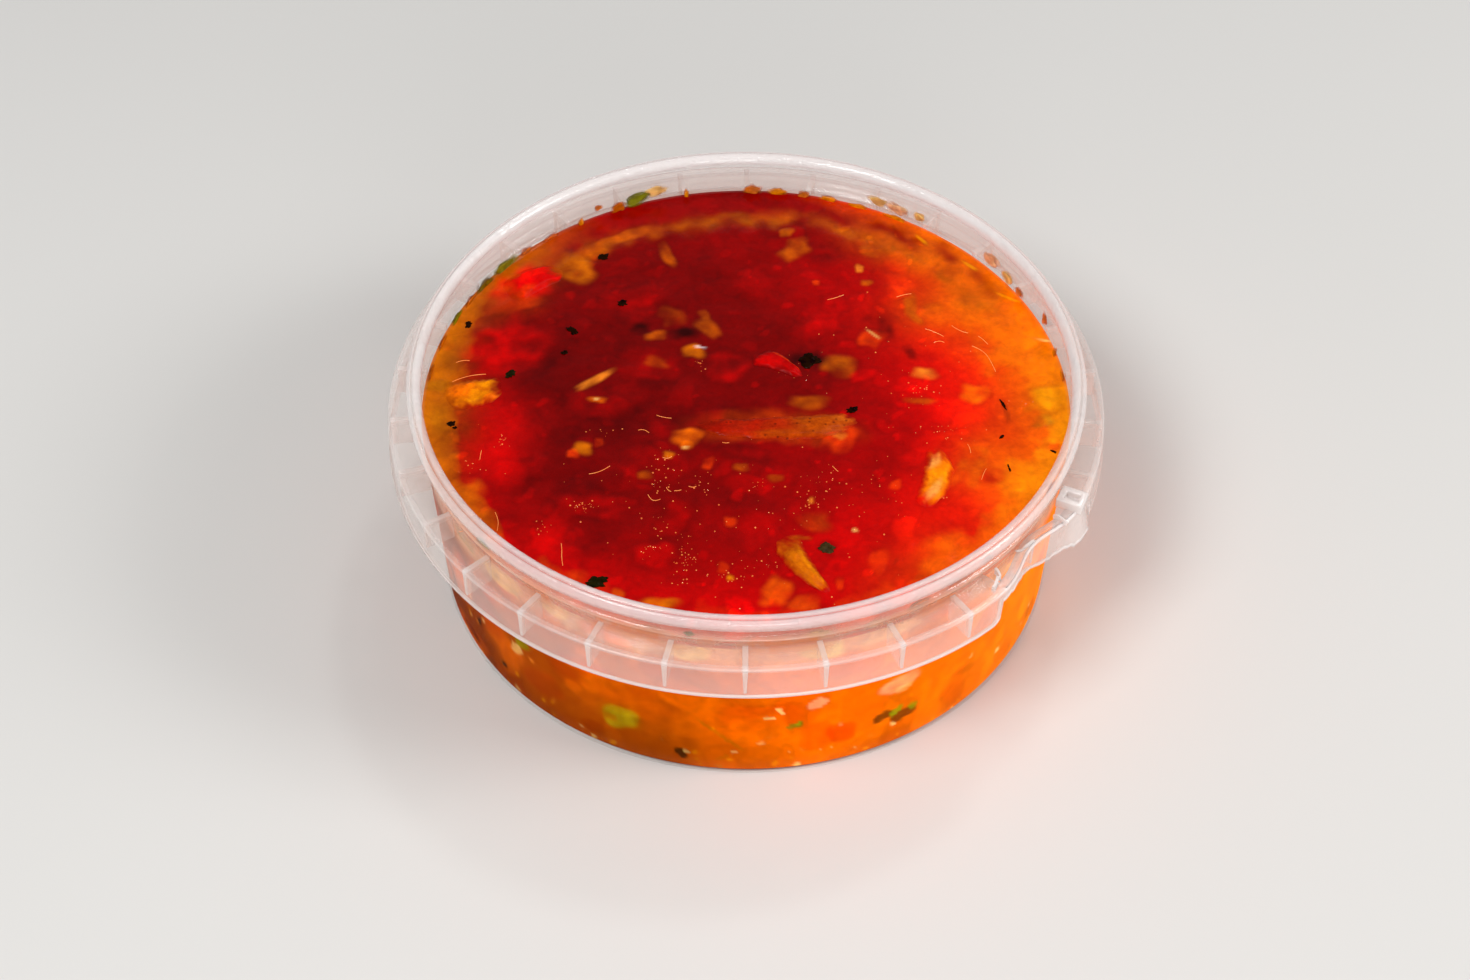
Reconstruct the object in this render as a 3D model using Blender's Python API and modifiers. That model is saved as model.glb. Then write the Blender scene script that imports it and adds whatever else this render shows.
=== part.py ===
# An open round tub of pico de gallo, filled with chopped vegetable salsa to just below its rim.
# The tub is clear plastic with a ribbed skirt below the rim, and its tear tab is partly torn off.
# The script works in millimetres and degrees, and turns them into metres as the meshes are made.
# Angles round the tub start at the front (-Y) and grow towards the right (+X).
import math
import random

import bmesh
import bpy
from mathutils import Matrix, Vector, noise

MM = 0.001
MERGE_DISTANCE = 0.00001

# The cup: wall, floor and the round bead of the rim
CUP_STEPS = 80
RIM_HEIGHT = 41.1
BASE_RADIUS = 52.75
WALL_TOP_RADIUS = 54.15
WALL_TOP_HEIGHT = 33.0
WALL_THICKNESS = 0.8
FLOOR_THICKNESS = 0.9
BASE_CORNER = 0.6
INNER_CORNER = 1.2
CORNER_POINTS = 3
BEAD_CENTRE_RADIUS = 54.5
BEAD_HALF_WIDTH = 1.25
BEAD_HEIGHT = 2.5
BEAD_POINTS = 8
RIDGE_HEIGHT = 35.9
RIDGE_DEPTH = 0.65

# The outer ring: a level flange with a skirt hanging from its edge, stiffened by ribs
RING_RADIUS = 59.2
RING_TOP = 34.4
RING_EDGE_WIDTH = 1.15
FLANGE_THICKNESS = 0.6
FLANGE_INNER_RADIUS = 53.75
SKIRT_BOTTOM = 28.0
SKIRT_THICKNESS = 0.75
SKIRT_FLARE = 0.25
LIP_DEPTH = 0.15
LIP_HEIGHT = 0.8
RING_STEP_ANGLE = 4.5
RIB_COUNT = 30
RIB_FIRST_ANGLE = 0.2
RIB_TOP_THICKNESS = 0.95
RIB_BOTTOM_THICKNESS = 0.55
RIB_INNER_RADIUS = 53.5

# The torn tab: the stretch of ring that was pulled loose from the cup
TAB_START = 42.4
TAB_NECK_START = 43.0
TAB_NECK_END = 46.0
TAB_FULL = 57.0
TAB_END = 67.4
NOTCH_END = 69.0
TAB_STEP_ANGLE = 1.0
TAB_NECK_BOTTOM = 32.3
TAB_NOTCH_BOTTOM = 30.6
TAB_FLANGE_WIDTH = 1.9
TAB_PULL = 2.9
TAB_PULL_ANGLE = 53.5
TAB_PULL_SPREAD = 7.0
TAB_FLAP_FLARE = 1.0
TAB_RAGGEDNESS = 0.35
TAB_RIB_ANGLES = (46.4, 54.0, 62.2)
SKIRT_CORNER = 2.0

# The small buckle at the far end of the tab
BUCKLE_ANGLE = 65.0
BUCKLE_RADIUS = 57.3
BUCKLE_SIZE = (3.6, 4.4, 1.9)
BUCKLE_SLOT = (1.5, 2.4)

# The salsa
SALSA_GAP = 0.3
SALSA_LEVEL = 32.8
SALSA_STEPS = 64
SALSA_RINGS = 13
RELIEF_HEIGHT = 0.35
RELIEF_SCALE = 5.5
RELIEF_CALM_EDGE = 3.0

# Pieces that lie in the surface, each in its own pocket
PIECE_GAP = 0.32
PIECE_RISE = 0.55
PIECE_THICKNESS = 2.4
PIECE_CUTS = 3
POCKET_HEADROOM = 4.0

# Large pieces: name, centre x and y, length, width, turn, taper from 0 (none) to 1 (pointed), bend
LARGE_PIECES = (
    ("pale_strip", 4.9, -6.4, 25.6, 6.4, 2.0, -0.35, 0.3),
    ("onion_slab", 30.6, -17.8, 13.6, 5.2, 76.0, -0.15, 0.8),
    ("pepper_sliver", 9.2, -37.0, 13.2, 5.4, -58.0, 0.55, 0.5),
    ("yellow_chunk", -45.4, 1.2, 9.6, 7.6, 14.0, 0.2, 0.5),
    ("tomato_chunk", -37.3, 29.0, 11.0, 7.0, 38.0, 0.25, -0.6),
    ("red_wedge", 5.6, 8.5, 9.2, 5.6, -34.0, 0.6, -0.5),
)

# Small pieces that show, fused to the salsa: centre x and y, length, width, turn
SMALL_PIECES = (
    (-30.2, 32.6, 6.0, 4.4, 25.0),
    (-14.4, 36.5, 5.0, 3.0, 70.0),
    (16.2, 8.3, 5.4, 4.2, -50.0),
    (15.4, -8.4, 4.6, 4.2, 20.0),
    (30.0, 6.6, 4.2, 2.8, 10.0),
    (-9.7, -9.8, 4.6, 4.0, 60.0),
    (-25.4, 4.3, 6.2, 2.2, 38.0),
    (-8.8, 11.4, 3.8, 2.8, 0.0),
    (-26.6, -11.6, 3.2, 2.6, 30.0),
    (21.3, 15.2, 3.6, 2.8, -20.0),
    (28.1, 23.6, 6.0, 3.0, -65.0),
    (40.6, -17.5, 3.4, 3.2, 5.0),
    (47.2, -0.4, 4.4, 3.2, 80.0),
    (-6.6, 14.6, 4.8, 2.6, -55.0),
    (9.8, -1.6, 6.6, 2.4, 4.0),
)
SMALL_PIECE_THICKNESS = 1.9
SMALL_PIECE_RISE = 0.35
DICE_COUNT = 26
DICE_SIZES = (2.2, 3.6)
DICE_SPREAD_RADIUS = 48.0
DICE_SPACING = 5.0
DICE_SEED = 7

# Base colour, roughness and alpha of each material
MATERIALS = {
    "tub_plastic": ((0.86, 0.85, 0.88), 0.18, 0.45),
    "salsa": ((0.55, 0.02, 0.005), 0.12, 1.0),
    "pale_pepper": ((0.50, 0.20, 0.04), 0.2, 1.0),
    "onion": ((0.90, 0.55, 0.20), 0.2, 1.0),
    "green_pepper": ((0.62, 0.36, 0.03), 0.2, 1.0),
    "yellow_pepper": ((0.85, 0.40, 0.02), 0.2, 1.0),
    "tomato": ((0.70, 0.03, 0.01), 0.15, 1.0),
    "red_pepper": ((0.62, 0.02, 0.01), 0.15, 1.0),
}
PIECE_MATERIALS = {
    "pale_strip": "pale_pepper",
    "onion_slab": "onion",
    "pepper_sliver": "green_pepper",
    "yellow_chunk": "yellow_pepper",
    "tomato_chunk": "tomato",
    "red_wedge": "red_pepper",
}


def clear_scene():
    for old in list(bpy.data.objects):
        bpy.data.objects.remove(old, do_unlink=True)


def make_material(name):
    colour, roughness, alpha = MATERIALS[name]
    material = bpy.data.materials.new(name)
    material.use_nodes = True
    shader = material.node_tree.nodes["Principled BSDF"]
    shader.inputs["Base Color"].default_value = (*colour, 1.0)
    shader.inputs["Roughness"].default_value = roughness
    shader.inputs["Metallic"].default_value = 0.0
    shader.inputs["Alpha"].default_value = alpha
    return material


def make_collection(name):
    collection = bpy.data.collections.new(name)
    bpy.context.scene.collection.children.link(collection)
    return collection


def object_from_bmesh(bm, name, collection):
    mesh = bpy.data.meshes.new(name)
    bmesh.ops.recalc_face_normals(bm, faces=bm.faces)
    bm.to_mesh(mesh)
    bm.free()
    made = bpy.data.objects.new(name, mesh)
    collection.objects.link(made)
    return made


def apply_modifiers(made):
    depsgraph = bpy.context.evaluated_depsgraph_get()
    applied = bpy.data.meshes.new_from_object(made.evaluated_get(depsgraph))
    applied.name = made.name
    made.modifiers.clear()
    made.data = applied


def turned_solid(name, profile, steps, collection):
    """Turns a profile of (radius, height) points in millimetres into a solid."""
    bm = bmesh.new()
    corners = [bm.verts.new((radius * MM, 0, height * MM)) for radius, height in profile]
    for first, second in zip(corners, corners[1:]):
        bm.edges.new((first, second))
    mesh = bpy.data.meshes.new(name)
    bm.to_mesh(mesh)
    bm.free()
    made = bpy.data.objects.new(name, mesh)
    collection.objects.link(made)
    screw = made.modifiers.new("Turn", 'SCREW')
    screw.steps = steps
    screw.render_steps = steps
    screw.use_merge_vertices = True
    screw.merge_threshold = MERGE_DISTANCE
    apply_modifiers(made)
    return made


def boolean_with(made, operands, operation):
    """Joins or cuts an object with every object of a collection, and removes those."""
    modifier = made.modifiers.new("Combine", 'BOOLEAN')
    modifier.operation = operation
    modifier.operand_type = 'COLLECTION'
    modifier.collection = operands
    modifier.solver = 'EXACT'
    apply_modifiers(made)
    for used in list(operands.objects):
        bpy.data.objects.remove(used, do_unlink=True)


def round_corner(centre_radius, centre_height, size, start, end, points):
    """Points of a corner's arc, with angles in degrees from straight outwards."""
    for step in range(points + 1):
        turn = math.radians(start + (end - start) * step / points)
        yield centre_radius + size * math.cos(turn), centre_height + size * math.sin(turn)


def wall_radius(height):
    """Outer radius of the cup's wall at a height."""
    slope = (WALL_TOP_RADIUS - BASE_RADIUS) / (WALL_TOP_HEIGHT - BASE_CORNER)
    return BASE_RADIUS + slope * (min(height, WALL_TOP_HEIGHT) - BASE_CORNER)


def place_round(angle, radius, height):
    """A point at an angle round the tub, in metres."""
    turn = math.radians(angle)
    return Vector((radius * math.sin(turn), -radius * math.cos(turn), height)) * MM


def cup_profile():
    """The cup's section, from the middle of the floor over the rim to the middle of the base."""
    floor_edge = wall_radius(BASE_CORNER) - WALL_THICKNESS - INNER_CORNER
    bead_middle = RIM_HEIGHT - BEAD_HEIGHT / 2
    profile = [(0, FLOOR_THICKNESS)]
    profile += round_corner(floor_edge, FLOOR_THICKNESS + INNER_CORNER, INNER_CORNER, -90, 0, CORNER_POINTS)
    profile.append((WALL_TOP_RADIUS - WALL_THICKNESS, WALL_TOP_HEIGHT))
    for step in range(BEAD_POINTS + 1):
        turn = math.radians(180 - 180 * step / BEAD_POINTS)
        across = BEAD_CENTRE_RADIUS + BEAD_HALF_WIDTH * math.cos(turn)
        profile.append((across, bead_middle + BEAD_HEIGHT / 2 * math.sin(turn)))
    profile.append((BEAD_CENTRE_RADIUS + BEAD_HALF_WIDTH - 0.1, bead_middle - 0.8))
    profile.append((BEAD_CENTRE_RADIUS + BEAD_HALF_WIDTH - 0.5, RIM_HEIGHT - BEAD_HEIGHT))
    profile.append((WALL_TOP_RADIUS + 0.1, RIM_HEIGHT - BEAD_HEIGHT - 0.1))
    profile.append((WALL_TOP_RADIUS, RIDGE_HEIGHT + 0.5))
    profile.append((WALL_TOP_RADIUS + RIDGE_DEPTH, RIDGE_HEIGHT + 0.15))
    profile.append((WALL_TOP_RADIUS + RIDGE_DEPTH, RIDGE_HEIGHT - 0.15))
    profile.append((WALL_TOP_RADIUS, RIDGE_HEIGHT - 0.5))
    profile.append((WALL_TOP_RADIUS, WALL_TOP_HEIGHT))
    profile += round_corner(BASE_RADIUS - BASE_CORNER, BASE_CORNER, BASE_CORNER, 0, -90, CORNER_POINTS)
    profile.append((0, 0))
    return profile


def blend(value, start, end):
    """Rises smoothly from 0 at start to 1 at end."""
    share = max(0.0, min(1.0, (value - start) / (end - start)))
    return share * share * (3 - 2 * share)


def skirt_bottom(angle):
    """Height of the skirt's lower edge, which is torn away along the start of the tab."""
    corner_start = TAB_START - math.degrees(SKIRT_CORNER / RING_RADIUS)
    if angle < corner_start or angle > NOTCH_END:
        return SKIRT_BOTTOM
    if angle < TAB_START:
        along = (angle - corner_start) / (TAB_START - corner_start)
        return SKIRT_BOTTOM + SKIRT_CORNER * (1 - math.sqrt(1 - along * along))
    if angle > TAB_END:
        return TAB_NOTCH_BOTTOM
    neck = 1 - blend(angle, TAB_NECK_END, TAB_FULL)
    rough = TAB_RAGGEDNESS * noise.noise(Vector((angle * 0.9, 3.1, 0)))
    return SKIRT_BOTTOM + (TAB_NECK_BOTTOM - SKIRT_BOTTOM) * neck + rough


def tab_pull(angle):
    """How far the tab is bent in towards the cup."""
    away = (angle - TAB_PULL_ANGLE) / TAB_PULL_SPREAD
    return TAB_PULL * math.exp(-away * away)


def on_tab(angle):
    return TAB_NECK_START <= angle <= TAB_END


def ring_outer_radius(angle):
    return RING_RADIUS - (tab_pull(angle) if TAB_START - 4 < angle < NOTCH_END + 4 else 0)


def ring_inner_radius(angle):
    """The flange runs into the cup's wall, except along the tab, where it is torn off."""
    return ring_outer_radius(angle) - TAB_FLANGE_WIDTH if on_tab(angle) else FLANGE_INNER_RADIUS


def ring_section(angle):
    """Section of the flange, its raised edge, the skirt and the skirt's lip at an angle."""
    outer = ring_outer_radius(angle)
    inner = ring_inner_radius(angle)
    low = skirt_bottom(angle)
    flap = TAB_FLAP_FLARE * blend(angle, 60, 63) * (1 - blend(angle, 66, TAB_END))
    foot = outer + (SKIRT_FLARE + flap) * (RING_TOP - low) / (RING_TOP - SKIRT_BOTTOM)
    flange_top = RING_TOP - 0.2
    return (
        (inner, flange_top),
        (outer - RING_EDGE_WIDTH, flange_top),
        (outer - RING_EDGE_WIDTH + 0.2, RING_TOP),
        (outer - 0.25, RING_TOP),
        (outer, RING_TOP - 0.3),
        (foot, low + LIP_HEIGHT + 0.1),
        (foot + LIP_DEPTH, low + LIP_HEIGHT),
        (foot + LIP_DEPTH, low + 0.15),
        (foot, low),
        (foot - SKIRT_THICKNESS, low),
        (outer - SKIRT_THICKNESS, flange_top - FLANGE_THICKNESS - 0.1),
        (inner, flange_top - FLANGE_THICKNESS),
    )


def ring_angles():
    """Even steps round the tub, and finer ones along the tab."""
    fine_start = TAB_START - 4
    fine_end = NOTCH_END + 3
    steps = round((360 - (fine_end - fine_start)) / RING_STEP_ANGLE)
    coarse = [fine_end + (360 - (fine_end - fine_start)) * step / steps for step in range(steps + 1)]
    fine_steps = round((fine_end - fine_start) / TAB_STEP_ANGLE)
    fine = [fine_start + (fine_end - fine_start) * step / fine_steps for step in range(1, fine_steps)]
    jumps = [TAB_START - 0.1, TAB_START + 0.1, TAB_NECK_START - 0.05, TAB_NECK_START + 0.05]
    jumps += [TAB_END - 0.1, TAB_END + 0.1, NOTCH_END - 0.1, NOTCH_END + 0.1]
    fine = [angle for angle in fine if min(abs(angle - jump) for jump in jumps) > 0.35]
    return coarse, sorted(fine + jumps)


def ring_solid(collection):
    """The whole ring as one loft, because its section changes along the torn tab."""
    coarse, fine = ring_angles()
    bm = bmesh.new()
    sections = []
    for angle in coarse + fine:
        section = ring_section(angle % 360)
        sections.append([bm.verts.new(place_round(angle, radius, height)) for radius, height in section])
    for here, after in zip(sections, sections[1:] + sections[:1]):
        for low, high in zip(range(len(here)), list(range(1, len(here))) + [0]):
            bm.faces.new((here[low], here[high], after[high], after[low]))
    return object_from_bmesh(bm, "ring", collection)


def rib_solid(angle, inner, outer, low, collection):
    """A radial plate under the flange, thicker at its top than at its foot."""
    bm = bmesh.new()
    bmesh.ops.create_cube(bm, size=1)
    top = RING_TOP - 0.45
    for corner in bm.verts:
        thickness = RIB_TOP_THICKNESS if corner.co.z > 0 else RIB_BOTTOM_THICKNESS
        corner.co.x = corner.co.x * thickness * MM
        corner.co.y = -(inner if corner.co.y > 0 else outer) * MM
        corner.co.z = (top if corner.co.z > 0 else low) * MM
    bmesh.ops.rotate(bm, verts=bm.verts, matrix=Matrix.Rotation(math.radians(angle), 3, 'Z'))
    return object_from_bmesh(bm, "rib", collection)


def buckle_solid(collection):
    """A small block on the tab with an upright slot through its middle."""
    along, across, height = BUCKLE_SIZE
    slot_along, slot_across = BUCKLE_SLOT
    bm = bmesh.new()
    bmesh.ops.create_cube(bm, size=1)
    bmesh.ops.scale(bm, verts=bm.verts, vec=Vector((along, across, height)) * MM)
    top = max(bm.faces, key=lambda face: face.calc_center_median().z)
    bmesh.ops.inset_region(bm, faces=[top], thickness=(along - slot_along) / 2 * MM)
    for corner in top.verts:
        corner.co.y = math.copysign(slot_across / 2 * MM, corner.co.y)
    pushed = bmesh.ops.extrude_discrete_faces(bm, faces=[top])["faces"][0]
    bmesh.ops.translate(bm, verts=pushed.verts, vec=(0, 0, -height * 0.6 * MM))
    bmesh.ops.rotate(bm, verts=bm.verts, matrix=Matrix.Rotation(math.radians(BUCKLE_ANGLE), 3, 'Z'))
    middle = place_round(BUCKLE_ANGLE, BUCKLE_RADIUS, RING_TOP - 0.5 + height / 2)
    bmesh.ops.translate(bm, verts=bm.verts, vec=middle)
    return object_from_bmesh(bm, "buckle", collection)


def make_tub(parts, cutters):
    tub = turned_solid("tub", cup_profile(), CUP_STEPS, parts)
    ring_solid(cutters)
    for index in range(RIB_COUNT):
        angle = RIB_FIRST_ANGLE + index * 360 / RIB_COUNT
        if not TAB_START < angle < NOTCH_END:
            rib_solid(angle, RIB_INNER_RADIUS, RING_RADIUS - 0.3, SKIRT_BOTTOM + 0.4, cutters)
    for angle in TAB_RIB_ANGLES:
        outer = ring_outer_radius(angle)
        inner = outer - TAB_FLANGE_WIDTH + 0.15
        rib_solid(angle, inner, outer - 0.3, skirt_bottom(angle) + 0.5, cutters)
    buckle_solid(cutters)
    boolean_with(tub, cutters, 'UNION')
    tub.data.materials.clear()
    tub.data.materials.append(make_material("tub_plastic"))
    return tub


def surface_height(x, y):
    """Height of the uneven salsa surface, which calms down towards the wall."""
    edge = WALL_TOP_RADIUS - WALL_THICKNESS - SALSA_GAP
    calm = min(1.0, max(0.0, (edge - math.hypot(x, y)) / RELIEF_CALM_EDGE))
    coarse = noise.noise(Vector((x / RELIEF_SCALE, y / RELIEF_SCALE, 0.5)))
    fine = noise.noise(Vector((x / RELIEF_SCALE * 2.3, y / RELIEF_SCALE * 2.3, 7.5)))
    return SALSA_LEVEL + RELIEF_HEIGHT * calm * (coarse + 0.5 * fine)


def salsa_profile():
    """Half section of the salsa: its top in rings, its side along the wall, its round foot."""
    foot_radius = wall_radius(BASE_CORNER) - WALL_THICKNESS - SALSA_GAP
    top_radius = wall_radius(SALSA_LEVEL) - WALL_THICKNESS - SALSA_GAP
    bottom = FLOOR_THICKNESS + SALSA_GAP
    profile = [(top_radius * math.sqrt(ring / SALSA_RINGS), SALSA_LEVEL) for ring in range(SALSA_RINGS + 1)]
    profile += round_corner(foot_radius - INNER_CORNER, bottom + INNER_CORNER, INNER_CORNER, 0, -90, CORNER_POINTS)
    profile.append((0, bottom))
    return profile


def blob(collection, x, y, length, width, turn, thickness, rise, rng):
    """A small rounded piece, half sunk in the surface."""
    bm = bmesh.new()
    bmesh.ops.create_icosphere(bm, subdivisions=1, radius=0.5)
    for corner in bm.verts:
        corner.co *= 1 + rng.uniform(-0.16, 0.16)
    bmesh.ops.scale(bm, verts=bm.verts, vec=Vector((length, width, thickness)) * MM)
    bmesh.ops.rotate(bm, verts=bm.verts, matrix=Matrix.Rotation(math.radians(turn), 3, 'Z'))
    middle = Vector((x, y, surface_height(x, y) + rise - thickness / 2)) * MM
    bmesh.ops.translate(bm, verts=bm.verts, vec=middle)
    return object_from_bmesh(bm, "blob", collection)


def dice(collection, x, y, size, rng):
    """A roughly cut cube of vegetable, tipped and mostly sunk."""
    bm = bmesh.new()
    bmesh.ops.create_cube(bm, size=size * MM)
    for corner in bm.verts:
        corner.co *= 1 + rng.uniform(-0.15, 0.15)
    tip = Matrix.Rotation(rng.uniform(-0.3, 0.3), 3, 'X') @ Matrix.Rotation(rng.uniform(-0.3, 0.3), 3, 'Y')
    turn = Matrix.Rotation(rng.uniform(0, math.pi), 3, 'Z')
    bmesh.ops.rotate(bm, verts=bm.verts, matrix=turn @ tip)
    middle = Vector((x, y, surface_height(x, y) - size * 0.36)) * MM
    bmesh.ops.translate(bm, verts=bm.verts, vec=middle)
    return object_from_bmesh(bm, "dice", collection)


def dice_places(rng):
    """Random places for the dice, clear of each other and of the pieces that have a place."""
    taken = [(x, y, max(length, width) / 2) for _, x, y, length, width, *_ in LARGE_PIECES]
    taken += [(x, y, max(length, width) / 2) for x, y, length, width, _ in SMALL_PIECES]
    places = []
    while len(places) < DICE_COUNT:
        reach = DICE_SPREAD_RADIUS * math.sqrt(rng.random())
        turn = rng.uniform(0, 2 * math.pi)
        x = reach * math.cos(turn)
        y = reach * math.sin(turn)
        if all(math.hypot(x - other_x, y - other_y) > size + DICE_SPACING / 2 for other_x, other_y, size in taken):
            places.append((x, y))
            taken.append((x, y, DICE_SPACING / 2))
    return places


def slab_mesh(name, length, width, turn, taper, bend, margin, headroom):
    """A cut slab of vegetable; with a margin and headroom it is the pocket that holds the slab."""
    bm = bmesh.new()
    bmesh.ops.create_cube(bm, size=2)
    bmesh.ops.subdivide_edges(bm, edges=bm.edges, cuts=PIECE_CUTS, use_grid_fill=True)
    half = Vector((length / 2 + margin, width / 2 + margin, PIECE_THICKNESS / 2 + margin))
    for corner in bm.verts:
        u, v, w = corner.co
        roundness = math.sqrt(max(0.0, 1 - 0.42 * v * v))
        ragged = 1 + 0.10 * noise.noise(Vector((u * 2.1, v * 2.1, len(name) * 1.7)))
        narrow = 1 - abs(taper) * (0.5 + 0.5 * math.copysign(u, u * taper))
        x = u * half.x * roundness * ragged
        y = v * half.y * (1 - 0.12 * u * u) * narrow * ragged + bend * (u * u - 0.5)
        z = w * half.z * (1 - 0.22 * (u * u + v * v) / 2)
        if headroom and w > 0:
            z += headroom * w
        corner.co = Vector((x, y, z)) * MM
    bmesh.ops.rotate(bm, verts=bm.verts, matrix=Matrix.Rotation(math.radians(turn), 3, 'Z'))
    return bm


def place_slab(name, collection, margin=0.0, headroom=0.0):
    piece = next(piece for piece in LARGE_PIECES if piece[0] == name)
    _, x, y, length, width, turn, taper, bend = piece
    bm = slab_mesh(name, length, width, turn, taper, bend, margin, headroom)
    height = SALSA_LEVEL + PIECE_RISE - PIECE_THICKNESS / 2
    made = object_from_bmesh(bm, name, collection)
    made.location = Vector((x, y, height)) * MM
    return made


def make_salsa(parts, cutters):
    salsa = turned_solid("salsa", salsa_profile(), SALSA_STEPS, parts)
    for corner in salsa.data.vertices:
        x, y, z = corner.co / MM
        if z > SALSA_LEVEL - 0.01:
            corner.co.z = surface_height(x, y) * MM
    rng = random.Random(DICE_SEED)
    for x, y, length, width, turn in SMALL_PIECES:
        blob(cutters, x, y, length, width, turn, SMALL_PIECE_THICKNESS, SMALL_PIECE_RISE, rng)
    for x, y in dice_places(rng):
        dice(cutters, x, y, rng.uniform(*DICE_SIZES), rng)
    boolean_with(salsa, cutters, 'UNION')
    for piece in LARGE_PIECES:
        place_slab(piece[0], cutters, PIECE_GAP, POCKET_HEADROOM)
    boolean_with(salsa, cutters, 'DIFFERENCE')
    salsa.data.materials.clear()
    salsa.data.materials.append(make_material("salsa"))
    return salsa


def make_large_pieces(parts):
    for piece in LARGE_PIECES:
        made = place_slab(piece[0], parts)
        made.data.materials.append(make_material(PIECE_MATERIALS[piece[0]]))
        made.data.shade_smooth()


def main():
    clear_scene()
    parts = make_collection("pico_de_gallo")
    cutters = make_collection("cutters")
    make_tub(parts, cutters)
    make_salsa(parts, cutters)
    make_large_pieces(parts)


main()
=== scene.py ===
import math
import random

import bpy
import numpy as np
from mathutils import Matrix, Vector, noise


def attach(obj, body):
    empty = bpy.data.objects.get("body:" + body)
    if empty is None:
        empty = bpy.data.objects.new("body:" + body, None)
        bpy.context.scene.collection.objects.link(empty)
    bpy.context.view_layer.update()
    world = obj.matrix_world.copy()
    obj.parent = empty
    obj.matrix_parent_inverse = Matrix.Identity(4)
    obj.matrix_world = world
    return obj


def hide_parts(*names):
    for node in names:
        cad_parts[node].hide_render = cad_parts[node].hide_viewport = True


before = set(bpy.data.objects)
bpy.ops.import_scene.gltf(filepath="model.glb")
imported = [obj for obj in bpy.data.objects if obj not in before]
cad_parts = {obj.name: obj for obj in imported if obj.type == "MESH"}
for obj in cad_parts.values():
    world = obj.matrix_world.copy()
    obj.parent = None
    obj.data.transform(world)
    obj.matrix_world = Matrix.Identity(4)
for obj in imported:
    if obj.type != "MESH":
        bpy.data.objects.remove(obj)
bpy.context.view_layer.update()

# An open clear tub of wet red salsa with chopped vegetables, on a pale floor in soft studio light.
# Sizes are in millimetres, angles in degrees from the front of the tub towards the right.
# Noise scales are per metre. A bump is a strength and a distance in metres.
mm = 0.001

tub = {
    "rimHeight": 41.1,
    "baseRadius": 52.75,
    "wallTopRadius": 54.15,
    "wallTopHeight": 33.0,
    "wallThickness": 0.8,
    "floorThickness": 0.9,
    "baseCorner": 0.6,
    "innerCorner": 1.2,
    "beadRadius": 54.5,
    "beadHalfWidth": 1.25,
    "beadHeight": 2.5,
    "ridgeHeight": 35.9,
    "ridgeDepth": 0.65,
    "grooveAcross": 0.35,
    "grooveDepth": 0.18,
    "steps": 360,
    "wallSteps": 8,
    "cornerSteps": 5,
    "beadSteps": 36,
    "grooveWidth": 0.16,
    # height over the ridge's middle, and share of its depth
    "ridgeShape": ((0.62, 0.0), (0.35, 0.35), (0.15, 1.0), (-0.15, 1.0), (-0.35, 0.35), (-0.62, 0.0)),
    # how milky the plastic is against the bead's 1
    "ridgeMilk": 0.35,
    "footMilk": 0.30,
    "upperMilk": 0.10,
    "grooveClear": 0.45,
    "filmFade": (35.0, 37.4),
    "filmSides": (60, 95),
    "filmBehind": 0.08,
}


def deselectAll():
    if bpy.context.mode != 'OBJECT':
        bpy.ops.object.mode_set(mode='OBJECT')
    bpy.ops.object.select_all(action='DESELECT')


def smoothStep(values, start, end):
    share = np.clip((values - start) / (end - start), 0, 1)
    return share * share * (3 - 2 * share)


def display(*colour):
    # a colour as a screen shows it, 0 to 255, turned into scene light
    part = np.array(colour) / 255
    return np.where(part <= 0.04045, part / 12.92, ((part + 0.055) / 1.055) ** 2.4)


def solid(*colour):
    return (*display(*colour), 1)


def blend(colour, other, share):
    return colour * (1 - share) + other * share


def turned(x, y, turn):
    spin = math.radians(turn)
    return x * math.cos(spin) - y * math.sin(spin), x * math.sin(spin) + y * math.cos(spin)


def angleAt(x, y):
    return np.degrees(np.arctan2(x, -y))


def roundPlace(angle, radius, height):
    turn = math.radians(angle)
    return Vector((radius * math.sin(turn), -radius * math.cos(turn), height)) * mm


def wallRadius(height):
    slope = (tub["wallTopRadius"] - tub["baseRadius"]) / (tub["wallTopHeight"] - tub["baseCorner"])
    return tub["baseRadius"] + slope * (height - tub["baseCorner"])


# One class for shader maths, so that a pattern reads as plain arithmetic
class Wire:
    def __init__(self, tree, socket):
        self.tree = tree
        self.socket = socket

    def maths(self, operation, other, swapped=False):
        node = self.tree.nodes.new("ShaderNodeMath")
        node.operation = operation
        pair = (other, self) if swapped else (self, other)
        for place, value in enumerate(pair):
            if isinstance(value, Wire):
                self.tree.links.new(value.socket, node.inputs[place])
            else:
                node.inputs[place].default_value = value
        return Wire(self.tree, node.outputs[0])

    def __add__(self, other):
        return self.maths('ADD', other)

    def __mul__(self, other):
        return self.maths('MULTIPLY', other)

    def __sub__(self, other):
        return self.maths('SUBTRACT', other)

    def __rsub__(self, other):
        return self.maths('SUBTRACT', other, True)

    def __pow__(self, other):
        return self.maths('POWER', other)

    __radd__ = __add__
    __rmul__ = __mul__


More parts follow.
